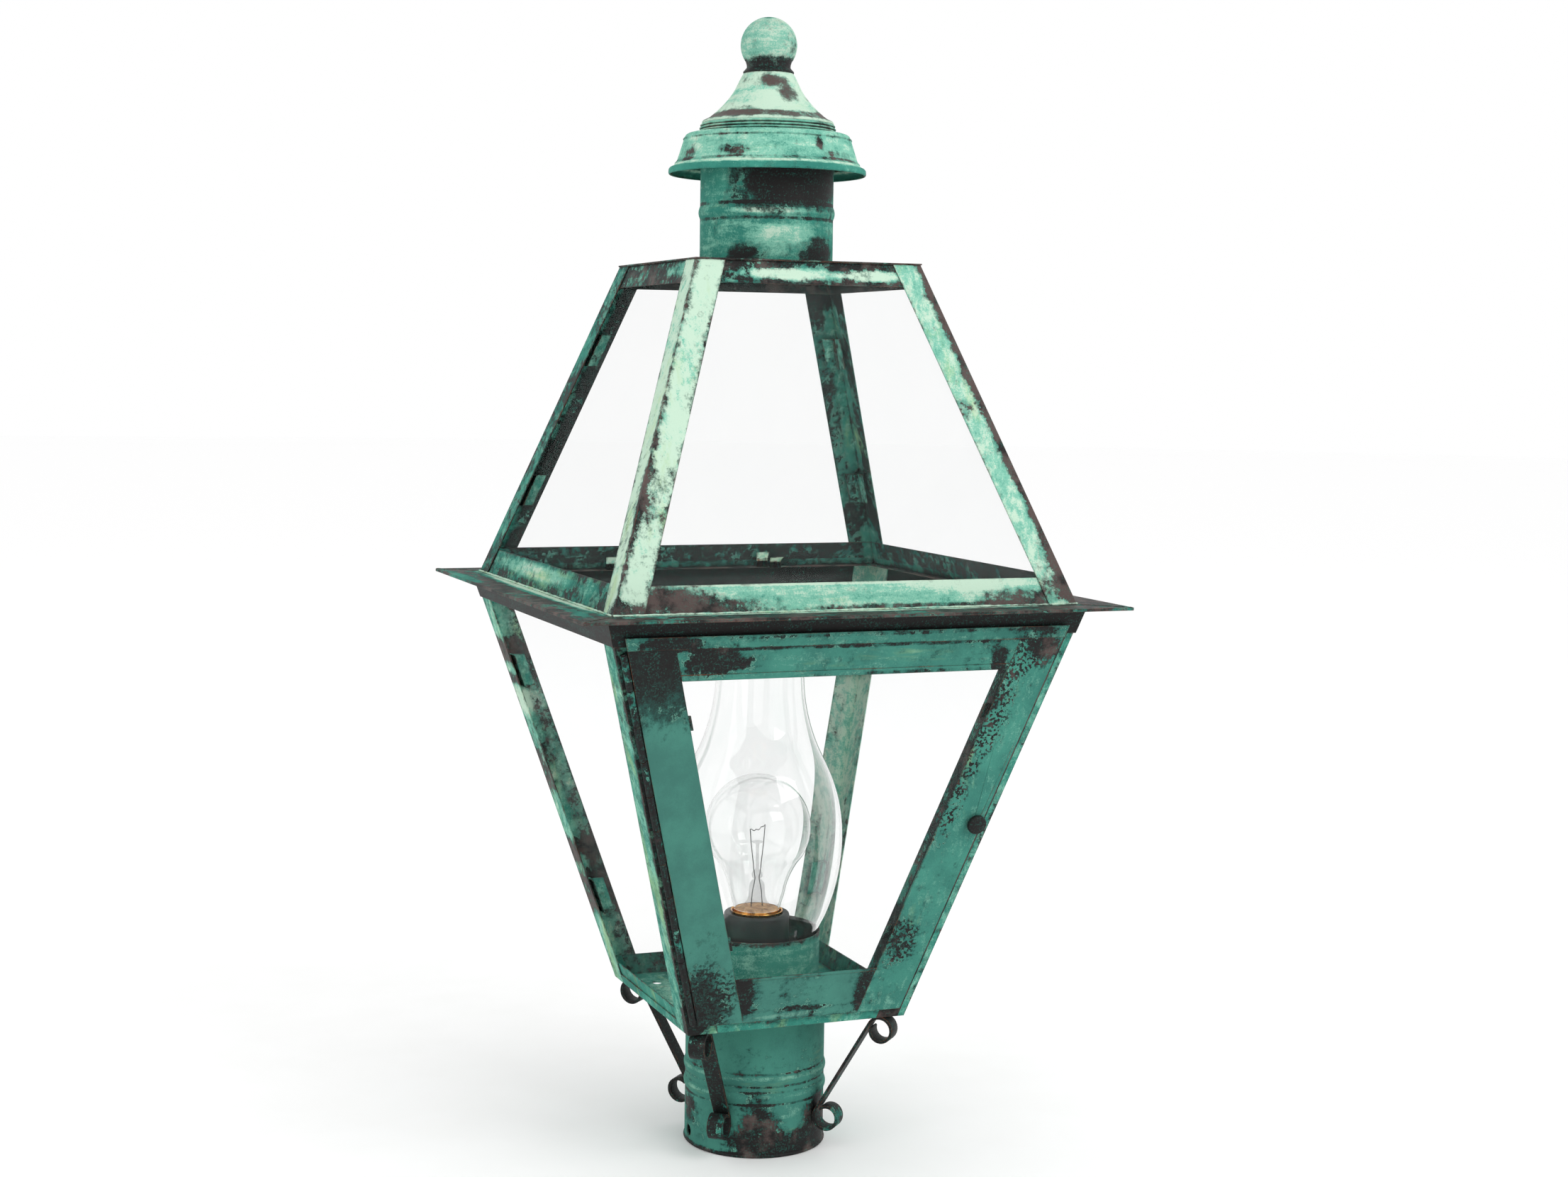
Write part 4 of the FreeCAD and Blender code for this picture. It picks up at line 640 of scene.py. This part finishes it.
CROWN = level_patina(
    "crown_patina", soot=0.5, bloom=0.3, brown=0.42, seed=18.0,
    bright=[((-14, -67, 484), (30, 8, 3.6), 0.45), ((34, -67, 484), (20, 8, 3.6), 0.45)],
    clear=[((-14, -67, 484), (34, 8, 4), 0.8), ((34, -67, 484), (22, 8, 4), 0.8),
           ((-67, -40, 486), (8, 20, 5), 0.6)])
# The rings at levels 515.4 and 523.8 are painted shade in the grooves beside the bead, and the bright band at
# 519.4 a painted highlight along its crest.
COLLAR = level_patina(
    "collar_patina", soot=-0.16, bloom=0.12, brown=0.16, seed=19.0, grain=0.8, cloud=0.5, soft=0.18,
    stains=[((6, -34, 540), (50, 26, 24), 1.15), ((20, -31, 496), (20, 12, 12), 0.8),
            ((-24, -27, 494), (18, 10, 9), 0.75), ((28, 24, 530), (30, 30, 34), 0.8),
            ring(515.4, 1.2, 0.5), ring(523.8, 1.2, 0.55)],
    clear=[((-36, -12, 538), (6, 12, 22), 1.0), ((-24, -29, 540), (6, 8, 14), 0.3),
           ((-8, -36, 508), (26, 10, 7), 0.4)],
    bright=[((-14, -34, 519.4), (34, 16, 2.2), 0.45), ((-6, -36, 506), (22, 8, 6), 0.3)])
# The thin rings are painted shade in the skirt's creases and in the grooves between its three rings.
HOOD = level_patina(
    "hood_patina", soot=-0.34, bloom=0.34, brown=0.5, seed=20.0, grain=0.8, cloud=0.45,
    stains=[((12, -48, 556), (4, 6, 5), 1.1), ((-34, -36, 551), (14, 12, 4), 0.62),
            ((26, -40, 549), (20, 16, 4), 0.5), ((-50, -8, 549), (8, 10, 6), 0.7),
            ring(559.6, 0.8, 0.4), ring(547.2, 1.0, 0.45), ring(563.2, 0.5, 0.5), ring(565.1, 0.5, 0.5),
            ring(566.8, 0.5, 0.5)])
BRIM = level_patina(
    "brim_patina", soot=-0.4, bloom=-0.04, lime=-0.3, brown=0.3, seed=21.0,
    stains=[((50, -22, 541), (8, 8, 3), 0.8)], bright=[ring(545.4, 1.4, 0.6)])
BELL = level_patina(
    "bell_patina", soot=-0.34, bloom=0.62, brown=0.72, seed=22.0, grain=0.8, cloud=0.4, soft=0.2,
    stains=[((-3, -14, 591), (10, 8, 5), 0.8), ((4, -20, 584), (8, 9, 8), 0.75), ring(572.0, 2.6, 0.85),
            ((-22, -20, 574), (12, 12, 4), 0.5), ((28, -20, 574), (12, 12, 4), 0.5)])
# The ring at level 599.2 is painted shade on the underside of the ball and its neck.
FINIAL = level_patina(
    "finial_patina", soot=-0.3, bloom=0.5, brown=0.3, seed=23.0, cloud=0.5, soft=0.12, dull=0.16,
    stains=[ring(599.2, 7.0, 0.95), ((0, 0, 627.5), (12, 12, 2), 0.5)])
STILE_LEFT = patina(
    "left_stile_patina", soot=-0.5, bloom=-0.3, lime=-0.3, brown=0.16, seed=24.0, grain=0.5, cloud=0.4,
    soft=0.4, dull=0.4, stain=stile_return_darkening(0.5),
    stains=[((-106, -128, 306), (70, 24, 70), 1.3), ((-60, -76, 92), (28, 14, 30), 1.1),
            ((-88, -84, 146), (10, 14, 70), 0.5), ((-62, -80, 128), (14, 12, 24), 0.36)],
    stipple=[((-56, -72, 104), (24, 14, 28), 0.7)])
STILE_RIGHT = patina(
    "right_stile_patina", soot=-0.34, brown=0.36, seed=25.0, cloud=0.4, dull=0.22,
    stain=stile_return_darkening(0.6),
    stains=[((107, -130, 290), (13, 10, 12), 0.75), ((82, -122, 262), (8, 8, 38), 0.36),
            ((68, -108, 222), (6, 8, 36), 0.36), ((52, -80, 127), (10, 9, 18), 0.4),
            ((70, -84, 108), (7, 9, 24), 0.6), ((58, -92, 168), (5, 8, 26), 0.36)],
    stipple=stile_spots(244, 300, 14, 5, 0.8) + stile_spots(190, 244, 14, 2, 0.55)
    + [((52, -80, 124), (13, 12, 22), 0.6), ((107, -130, 288), (15, 12, 16), 0.6)])
# The thin band at level 294.4 is painted shadow under the top lip.
RAIL_TOP = level_patina(
    "top_rail_patina", soot=-0.24, bloom=-0.02, brown=0.26, seed=26.0, cloud=0.5, soft=0.06, dull=0.26,
    stains=[((-72, -129, 287), (26, 8, 9), 1.1), ((-98, -130, 298), (22, 8, 6), 0.95),
            ((104, -132, 299), (20, 8, 6), 0.7), ((84, -126, 284), (6, 8, 12), 0.7),
            ((0, -131, 294.4), (120, 8, 1.4), 0.6), ((20, -131, 300.5), (120, 8, 1.4), 0.4),
            ((40, -128, 279.6), (70, 8, 1.4), 0.4)])
RAIL_BOTTOM = level_patina(
    "bottom_rail_patina", soot=-0.14, bloom=-0.3, brown=0.26, seed=27.0, cloud=0.5, dull=0.4,
    stains=[((-40, -72, 101), (14, 8, 19), 1.0), ((38, -72, 96), (10, 8, 22), 0.9),
            ((0, -70, 92), (50, 8, 2), 0.4)],
    bright=[((-6, -69, 88.4), (30, 6, 2), 0.5), ((12, -72, 100), (14, 6, 6), 0.2)])
HINGE = patina("hinge_patina", soot=0.6, brown=0.2, seed=28.0)
CLIP = patina("clip_patina", bloom=0.2, brown=0.3, seed=29.0)
KNOB = patina("knob_patina", soot=0.8, bloom=-0.2, brown=0.25, seed=30.0)
CRUST = patina("solder_crust", soot=-0.3, bloom=0.6, lime=0.12, brown=0.6, seed=31.0)
INSIDE = patina("inside_patina", soot=0.1, brown=0.3, seed=32.0)

NODE_FINISH = {
    "tray": TRAY, "crown_band": CROWN, "crown_plate": CROWN, "eave_flange": EAVE, "eave_skirt": SKIRT,
    "corner_bar_front_left": NEAR_BAR, "corner_bar_front_right": RIGHT_BAR,
    "corner_bar_back_right": FAR_BAR, "corner_bar_back_left": LEFT_BAR,
    "roof_bar_front_left": ROOF_NEAR, "roof_bar_front_right": ROOF_RIGHT,
    "roof_bar_back_right": ROOF_FAR, "roof_bar_back_left": ROOF_LEFT,
    "roof_rail_front": RAIL_FRONT, "roof_rail_left": RAIL_LEFT, "roof_rail_back": RAIL_BACK,
    "roof_rail_right": RAIL_BACK, "door_stile_left": STILE_LEFT, "door_stile_right": STILE_RIGHT,
    "door_top_rail": RAIL_TOP, "door_bottom_rail": RAIL_BOTTOM, "hinge_frame_leaf": HINGE,
    "hinge_door_leaf": HINGE, "hinge_pin": WIRE, "glass_clips": CLIP, "door_glass_clips": CLIP,
    "hood_straps": INSIDE, "finial_bolt": NICKEL, "latch_tongue": KNOB, "nipple": BRASS, "lock_nuts": BRASS,
    "socket_plate": PHENOLIC, "socket_contact": BRASS,
}
NODE_FINISH.update({f"scroll_bracket_{corner}": BRACKET for corner in CORNERS})
NODE_FINISH.update({f"roof_pane_{side}": CLEAR_GLASS for side in SIDES})
NODE_FINISH.update({f"side_pane_{side}": CLEAR_GLASS for side in SIDES[1:]})
NODE_FINISH["door_pane"] = CLEAR_GLASS


def dress_cad_nodes():
    """Finish every CAD node that stays, and ease the hard edges of the sheet metal."""
    for name, material in NODE_FINISH.items():
        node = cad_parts[name]
        node.data.materials.clear()
        node.data.materials.append(material)
        weld = node.modifiers.new("weld", "WELD")
        weld.merge_threshold = mm(0.002)
        bevel = node.modifiers.new("bevel", "BEVEL")
        bevel.width = mm(0.22)
        bevel.segments = 2
        bevel.limit_method = "ANGLE"
        bevel.angle_limit = math.radians(40)
        bevel.harden_normals = True


# ---- turned copper

def bead(foot, height, radius, swell, steps=8):
    """Outer line of a raised round bead on a tube."""
    return [mm(radius + swell * math.sin(math.pi * i / steps), foot + height * i / steps)
            for i in range(steps + 1)]


def as_metres(points):
    """Points (r, z) given in millimetres, in metres."""
    return [Vector((r, z)) * MM for r, z in points]


def ring_profile(radius, level, size, steps=14):
    """A round wire's profile, of radius size, about the point (radius, level)."""
    return [mm(radius + size * math.cos(TURN * i / steps), level + size * math.sin(TURN * i / steps))
            for i in range(steps)]


def make_sleeve():
    """The post sleeve with two beads, its set-screw holes drilled right through, and its rolled foot."""
    radius = 39.2
    outer = [mm(radius, 0.6), mm(radius, 15)] + bead(30, 6, radius, 0.9) + bead(40, 6, radius, 0.9)
    outer += [mm(radius, 60), mm(radius, 80.2)]
    piece = turned_copper("sleeve_tube", shell(rounded(outer, mm(0.5), 2), SHEET), SLEEVE, ["post_sleeve"],
                          around=256, dent=mm(0.12))
    drill = bpy.data.meshes.new("drill")
    drill_radius, drill_level, drill_length = mm(3.2), 7.2, mm(90)
    across = Matrix.Translation(mm(0, 0, drill_level)) @ Matrix.Rotation(TURN / 4, 4, "Y")
    work = bmesh.new()
    bmesh.ops.create_cone(work, cap_ends=True, segments=40, radius1=drill_radius, radius2=drill_radius,
                          depth=drill_length, matrix=across)
    work.to_mesh(drill)
    work.free()
    cutter = add_object("drill", drill)
    cut = piece.modifiers.new("holes", "BOOLEAN")
    cut.operation = "DIFFERENCE"
    cut.object = cutter
    cut.solver = "EXACT"
    bpy.context.view_layer.update()
    made = bpy.data.meshes.new_from_object(piece.evaluated_get(bpy.context.evaluated_depsgraph_get()))
    piece.modifiers.clear()
    piece.data = made
    made.set_sharp_from_angle(angle=math.radians(35))
    bpy.data.objects.remove(cutter)
    turned_copper("sleeve_rim", ring_profile(38.75, 1.15, 1.12), SLEEVE, around=200, dent=mm(0.1), seed=4)


def make_collar_and_hood():
    """The vent collar, the hood's rolled brim, and its skirt with three rings above."""
    radius = 36.9
    outer = [mm(radius, 484.2), mm(radius, 500)] + bead(516.2, 7, radius, 0.9)
    outer += [mm(radius, 540), mm(radius, 552)]
    turned_copper("collar_tube", shell(rounded(outer, mm(0.5), 2), SHEET), COLLAR, ["vent_collar"],
                  around=220, dent=mm(0.15), seed=2)
    brim = as_metres([(53.5, 540.9), (54.2, 540.5), (54.7, 541.2), (54.6, 543.4), (53.9, 544.3),
                      (52.0, 545.1), (51.1, 546.4)])
    turned_copper("hood_brim", shell(rounded(brim, mm(0.5), 3), SHEET), BRIM, ["vent_hood"],
                  around=220, dent=mm(0.15), seed=3)
    skirt = rounded(as_metres([(51.2, 545.6), (51.4, 546.6), (50.6, 547.3), (49.9, 548.4), (46.5, 559.3),
                               (46.9, 560.1), (46.0, 560.9), (45.3, 562.2), (44.2, 562.8), (37.4, 563.2)]),
                    mm(0.45), 3)
    rings = bead(563.3, 1.8, 37.4, 0.9, 6) + bead(565.1, 1.7, 37.0, 0.85, 6) + bead(566.8, 1.7, 36.6, 0.8, 6)
    skirt += rings + as_metres([(36.2, 568.6), (20, 568.6), (3.2, 568.6)])
    turned_copper("hood_skirt", shell(skirt, SHEET), HOOD, ["vent_hood"], around=220, dent=mm(0.2), seed=5)


def make_bell_and_finial():
    """The bell on the hood, and the ball on its short neck."""
    curve = flowing(as_metres([(35.7, 570.3), (32.6, 571.9), (28.9, 574.9), (25.2, 578.5), (21.9, 582.3),
                               (18.9, 586.6), (16.6, 591.2), (14.7, 595.0), (13.8, 596.4)]), 6)
    foot = rounded(as_metres([(36.4, 568.6), (36.5, 569.5), (35.9, 570.2)]), mm(0.4), 3)
    turned_copper("bell_shell", shell(foot + curve[1:], SHEET), BELL, ["cap_bell"],
                  around=220, dent=mm(0.15), seed=6)
    neck = rounded(as_metres([(3.2, 596.4), (13.9, 596.4), (14.2, 597.3), (13.2, 598.4), (12.1, 599.6),
                              (12.2, 601.4), (12.6, 602.4)]), mm(0.5), 3)
    ball = arc(mm(0, 612), mm(15.6), -36, 90, 40)
    ball[-1] = (0.0, mm(627.6))
    turned_copper("finial_globe", neck + [Vector(p) for p in ball], FINIAL, ["finial_ball"],
                  closed=False, around=128, dent=mm(0.06), seed=7)


def make_cup():
    outer = as_metres([(35.5, 81.4), (35.5, 100), (35.5, 117.6), (35.9, 118.4), (35.6, 119.1)])
    turned_copper("cup_wall", shell(rounded(outer, mm(0.4), 3), SHEET), CUP, ["burner_cup"],
                  around=200, dent=mm(0.12), seed=8)


# ---- lamp

def bow(start, end, radius, turn, steps=8):
    """Points (r, z) on the arc of a radius from start to end; turn is 1 to the left and -1 to the right."""
    start, end = Vector(start), Vector(end)
    chord = end - start
    rise = math.sqrt(radius ** 2 - (chord.length / 2) ** 2)
    centre = (start + end) / 2 + Vector((-chord.y, chord.x)).normalized() * rise * turn
    first = math.atan2(start.y - centre.y, start.x - centre.x)
    last = math.atan2(end.y - centre.y, end.x - centre.x)
    sweep = (last - first + math.pi) % TURN - math.pi
    angles = [first + sweep * i / steps for i in range(steps + 1)]
    return [centre + radius * Vector((math.cos(a), math.sin(a))) for a in angles]


def make_chimney():
    """The blown chimney, with its foot and its lip rounded by the fire."""
    foot, swell, belly = (34.1, 108.0), (34.1, 118.6), (47.5, 172.0)
    turn, neck, top = (38.0, 213.0), (25.0, 258.0), (23.5, 303.9)
    line = [Vector(foot), Vector((34.1, 113.5))] + bow(swell, belly, 112, 1, 5)
    line += bow(belly, turn, 92, 1, 4)[1:] + bow(turn, neck, 105, -1, 4)[1:]
    line += [Vector((24.3, 280.0)), Vector(top)]
    outer = flowing([p * MM for p in line], 6)
    wall = mm(0.95)
    profile = shell(outer, wall)
    half = len(profile) // 2
    lip = arc((profile[half - 1] + profile[half]) / 2, wall * 0.52, 0, 180, 8)
    heel = arc((profile[0] + profile[-1]) / 2, wall * 0.5, 180, 360, 8)
    heel, lip = [Vector(p) for p in heel], [Vector(p) for p in lip]
    profile = heel + profile[1:half - 1] + lip + profile[half + 1:-1]
    lathe("chimney_blown", profile, CHIMNEY, GLASS_SLOT, CHIMNEY_GLASS, ["chimney"], around=220, sharp=80)


def make_bulb():
    """The lamp's glass envelope: a neck, a hollow shoulder and the globe."""
    shoulder = (25.6, 161.2)
    line = [Vector((13.0, 130.6)), Vector((13.6, 133.2))] + bow((15.4, 139.0), shoulder, 46, -1, 5)
    centre, radius = 176.5, 29.8
    globe = [Vector(p) for p in arc((0, centre), radius, -30.8, 90, 14)]
    outer = flowing([p * MM for p in line + globe[1:]], 5)
    outer[-1] = Vector((0.0, mm(centre + radius)))
    lathe("bulb_envelope", shell(outer, mm(0.6)), BULB, GLASS_SLOT, BULB_GLASS, ["bulb_glass"],
          around=180, sharp=80)


def make_bulb_base():
    """The screw base with its real helical thread, and its insulator and solder tip."""
    around, rows = 96, 90
    low, high = 110.6, 130.6
    root, depth = 12.45, 0.7
    verts, faces = [], []
    for i in range(rows + 1):
        level = low + (high - low) * i / rows
        fade = min(1.0, i / 8, (rows - i) / 14)
        for k in range(around):
            a = TURN * k / around
            wave = 0.5 + 0.5 * math.cos(TURN * (level / PITCH - k / around))
            plain = (1 - fade) * (0.5 if i > rows / 2 else -0.9)
            radius = root + depth * wave * fade + plain
            verts.append(mm(radius * math.cos(a), radius * math.sin(a), level))
    for i in range(rows):
        faces += hoop(i * around, (i + 1) * around, around)
    faces.append(tuple(range(around)))
    faces.append(tuple(rows * around + around - 1 - k for k in range(around)))
    piece = add_mesh("bulb_screw", verts, faces, BULB, BRASS)
    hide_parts("bulb_base")
    tip = rounded(as_metres([(11.5, 110.5), (6.4, 106.0), (5.2, 105.2), (4.9, 103.4), (4.4, 102.2),
                             (2.2, 101.7), (0.0, 101.65)]), mm(0.8), 4)
    lathe("bulb_tip", tip[::-1], BUTTON, BRASS_SLOT, NICKEL, ["bulb_contact"], closed=False, around=64)


def make_stem():
    """The glass stem inside the lamp: its flare, its pinch, and the rod with the button on top."""
    outer = flowing(as_metres([(10.6, 130.8), (9.2, 131.6), (6.2, 134.0), (4.9, 137.0), (4.5, 141.0),
                               (4.2, 144.2), (2.9, 146.4), (2.0, 147.2), (2.9, 148.6), (3.1, 150.2),
                               (2.2, 152.0), (1.1, 153.4), (0.9, 158.0), (0.9, 164.0), (1.2, 167.0),
                               (2.9, 167.6), (3.0, 168.3), (1.4, 168.8), (0.0, 168.9)]), 4)
    lathe("stem_mount", outer, BULB, GLASS_SLOT, STEM_GLASS, ["bulb_stem"],
          closed=False, around=48, sharp=70)


def make_filament():
    """Two lead wires that rise from the stem's pinch, and the coil that hangs between their tips."""
    parts = []
    for side, top in ((-1, 175.2), (1, 177.6)):
        route = [mm(side * 3.4, 0, 131.5), mm(side * 2.7, 0, 140), mm(side * 1.3, 0, 147.4),
                 mm(side * 1.9, 0, 152), mm(side * 3.6, 0.3, 166), mm(side * 4.5, 0.2, top)]
        parts.append(tube(flowing(route, 8), mm(0.28), 8))
    turns, steps, coil_radius = 46, 46 * 8, 0.26
    coil = []
    for i in range(steps + 1):
        t = i / steps
        middle = mm(-4.5 + 9.0 * t, 0.2, 175.2 + 2.4 * t - 1.5 * math.sin(math.pi * t)
                    + 0.35 * math.sin(3 * TURN * t))
        a = TURN * turns * t
        coil.append(middle + mm(0, coil_radius * math.cos(a), coil_radius * math.sin(a)))
    parts.append(tube(coil, mm(0.07), 5))
    verts, faces = joined(parts)
    piece = add_mesh("bulb_wires", verts, faces, BULB, WIRE, sharp=80)
    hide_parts("bulb_filament")


def make_socket():
    """The socket's moulded body, and the threaded brass shell inside it."""
    outer = rounded(as_metres([(5.1, 89.1), (16.3, 89.1), (16.5, 90.0), (16.5, 107.6), (18.5, 107.8),
                               (18.5, 127.2), (17.9, 128.5), (15.3, 128.5), (14.4, 127.9), (14.35, 94.1),
                               (5.1, 94.1)]), mm(0.9), 4)
    lathe("socket_body", outer, LANTERN, "phenolic", PHENOLIC, ["socket_housing"], around=128)
    wall = [mm(13.72 + 0.2 * math.cos(TURN * i / 12), 108.2 + PITCH * i / 12) for i in range(61)]
    wall += as_metres([(13.9, 128.4), (14.2, 129.3), (14.7, 129.5)])
    lathe("socket_screw_shell", shell(wall, mm(0.35)), LANTERN, BRASS_SLOT, BRASS, ["socket_shell"],
          around=128)


# ---- latch, solder and tabs

def make_knob():
    """The latch's knob, which stands on the door's face."""
    foot = DOOR_PROUD / math.sqrt(1 + BODY_TAPER ** 2) + 0.4
    outer = as_metres([(0, -1.2), (1.5, -1.2), (1.5, foot), (2.6, foot), (2.6, foot + 1.1), (4.9, foot + 1.2),
                       (5.35, foot + 1.7), (5.35, foot + 3.3), (4.7, foot + 4.0), (2.6, foot + 4.4),
                       (0, foot + 4.5)])
    verts, faces = spin(rounded(outer, mm(0.5), 4), closed=False, around=64)
    level = mm(194)
    normal = Vector((0, -1, -BODY_TAPER)).normalized()
    side = Vector((1, 0, 0))
    turn = Matrix((side, normal.cross(side), normal)).transposed().to_4x4()
    place = Matrix.Translation((mm(85.3), -half_width(BODY_BARS, level), level)) @ turn
    piece = add_mesh("knob_turned", [place @ Vector(v) for v in verts], faces, LATCH, KNOB)
    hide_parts("latch_knob")


def add_solder(name, parts, material):
    verts, faces = joined(parts)
    add_mesh(name, verts, faces, LANTERN, material, sharp=80)


def make_solder():
    """Uneven beads of solder along the seams."""
    level = mm(312.5)
    half = half_width(ROOF_BARS, level) + mm(0.3)
    parts = []
    for turns in range(4):
        line = divided((-half, -half, level), (half, -half, level), 120)
        parts.append(tube(quarter(line, turns), mm(0.85), 8, wander=0.35, seed=turns, flat=0.7))
    add_solder("eave_solder", parts, CRUST)

    for name, radius, level, size in (("collar_solder", 37.3, 491.9, 0.8), ("sleeve_solder", 39.7, 79.9, 0.8),
                                      ("cup_solder", 36.1, 81.7, 0.7)):
        circle = [mm(radius * math.cos(TURN * i / 150), radius * math.sin(TURN * i / 150), level)
                  for i in range(151)]
        add_solder(name, [tube(circle, mm(size), 8, wander=0.3, seed=9)], CRUST)

    mitre_in, mitre_out, eave = 122, 149.4, 312.2
    top, crown = half_width(ROOF_BARS, mm(490.4)) - mm(0.2), mm(490.9)
    foot, hem = half_width(BODY_BARS, mm(80.6)) - mm(0.5), mm(80.75)
    parts = []
    for turns in range(4):
        line = divided(mm(-mitre_in, -mitre_in, eave), mm(-mitre_out, -mitre_out, eave), 30)
        parts.append(tube(quarter(line, turns), mm(0.3), 6, wander=0.4, seed=20 + turns))
        line = divided((-top, -top, crown), (top, -top, crown), 70)
        parts.append(tube(quarter(line, turns), mm(0.45), 6, wander=0.4, seed=30 + turns))
        line = divided((-foot, -foot, hem), (foot, -foot, hem), 60)
        parts.append(tube(quarter(line, turns), mm(0.42), 6, wander=0.35, seed=40 + turns))
    add_solder("seam_solder", parts, EAVE)


def make_tabs():
    """Three small copper tabs, bent up beside the back pane to hold it."""
    deep, length, half = 122.0, 5, 3.6
    for index, (across, lift, bend) in enumerate(((48, 1.0, 58), (57, 0.2, 24), (-49, 0.8, 40))):
        angle = math.radians(bend)
        end = Vector((-length * math.cos(angle), length + length * math.sin(angle)))
        line = [Vector((0, 0)), Vector((0, length)), end]
        bent = rounded([p * MM for p in line], mm(1.2), 3)
        profile = shell(bent, mm(0.6))
        verts, faces = [], []
        for side in (-1, 1):
            for p in profile:
                verts.append(mm(across + side * half, deep - 1.5, 311 + lift) + Vector((0, p.x, p.y)))
        count = len(profile)
        faces.append(tuple(range(count)))
        faces.append(tuple(2 * count - 1 - i for i in range(count)))
        faces += [(i, (i + 1) % count, count + (i + 1) % count, count + i) for i in range(count)]
        add_mesh(f"pane_tab_{index + 1}", verts, faces, LANTERN, CRUST, sharp=50)


# ---- stage, light and camera

def make_stage():
    """A wide pale floor and an even white surround."""
    mesh = bpy.data.meshes.new("studio_floor")
    work = bmesh.new()
    bmesh.ops.create_circle(work, cap_ends=True, segments=96, radius=12.0)
    work.to_mesh(mesh)
    work.free()
    mesh.materials.append(floor_paint("studio_floor"))
    add_object("studio_floor", mesh)

    world = bpy.data.worlds.new("studio")
    world.use_nodes = True
    background = world.node_tree.nodes["Background"]
    background.inputs["Color"].default_value = (1.0, 1.0, 1.0, 1.0)
    background.inputs["Strength"].default_value = 1.0
    bpy.context.scene.world = world


def make_light(name, spot, size, power):
    """A soft square light, turned towards the lantern's middle."""
    middle = Vector((0, 0, 0.3))
    light = bpy.data.lights.new(name, "AREA")
    light.size = size
    light.energy = power
    lamp = add_object(name, light)
    lamp.location = spot
    lamp.rotation_euler = (middle - Vector(spot)).to_track_quat("-Z", "Y").to_euler()


def make_camera():
    """The camera stands to the front left, a little above the lantern's middle."""
    yaw, pitch, roll = (math.radians(angle) for angle in (20.79, -3.23, 0.77))
    ahead = Vector((math.sin(yaw) * math.cos(pitch), math.cos(yaw) * math.cos(pitch), math.sin(pitch)))
    level_right = Vector((math.cos(yaw), -math.sin(yaw), 0))
    level_up = level_right.cross(ahead)
    right = level_right * math.cos(roll) + level_up * math.sin(roll)
    up = level_up * math.cos(roll) - level_right * math.sin(roll)
    data = bpy.data.cameras.new("camera")
    data.sensor_width = 36
    data.lens = 52.79
    data.shift_x = 0.0346
    data.shift_y = -0.0588
    data.clip_start = 0.05
    camera = add_object("camera", data)
    turn = Matrix((right, up, -ahead)).transposed().to_4x4()
    camera.matrix_world = Matrix.Translation(mm(-472.1, -1191.9, 434.9)) @ turn
    bpy.context.scene.camera = camera


make_stage()
make_light("key", (0.9, -1.6, 1.5), 1.2, 16)
make_light("fill", (-1.7, -0.6, 0.8), 1.4, 5)
make_camera()
dress_cad_nodes()
make_sleeve()
make_collar_and_hood()
make_bell_and_finial()
make_cup()
make_chimney()
make_bulb()
make_bulb_base()
make_stem()
make_filament()
make_socket()
make_knob()
make_solder()
make_tabs()
bpy.context.scene.view_settings.view_transform = "Standard"

bpy.context.view_layer.update()
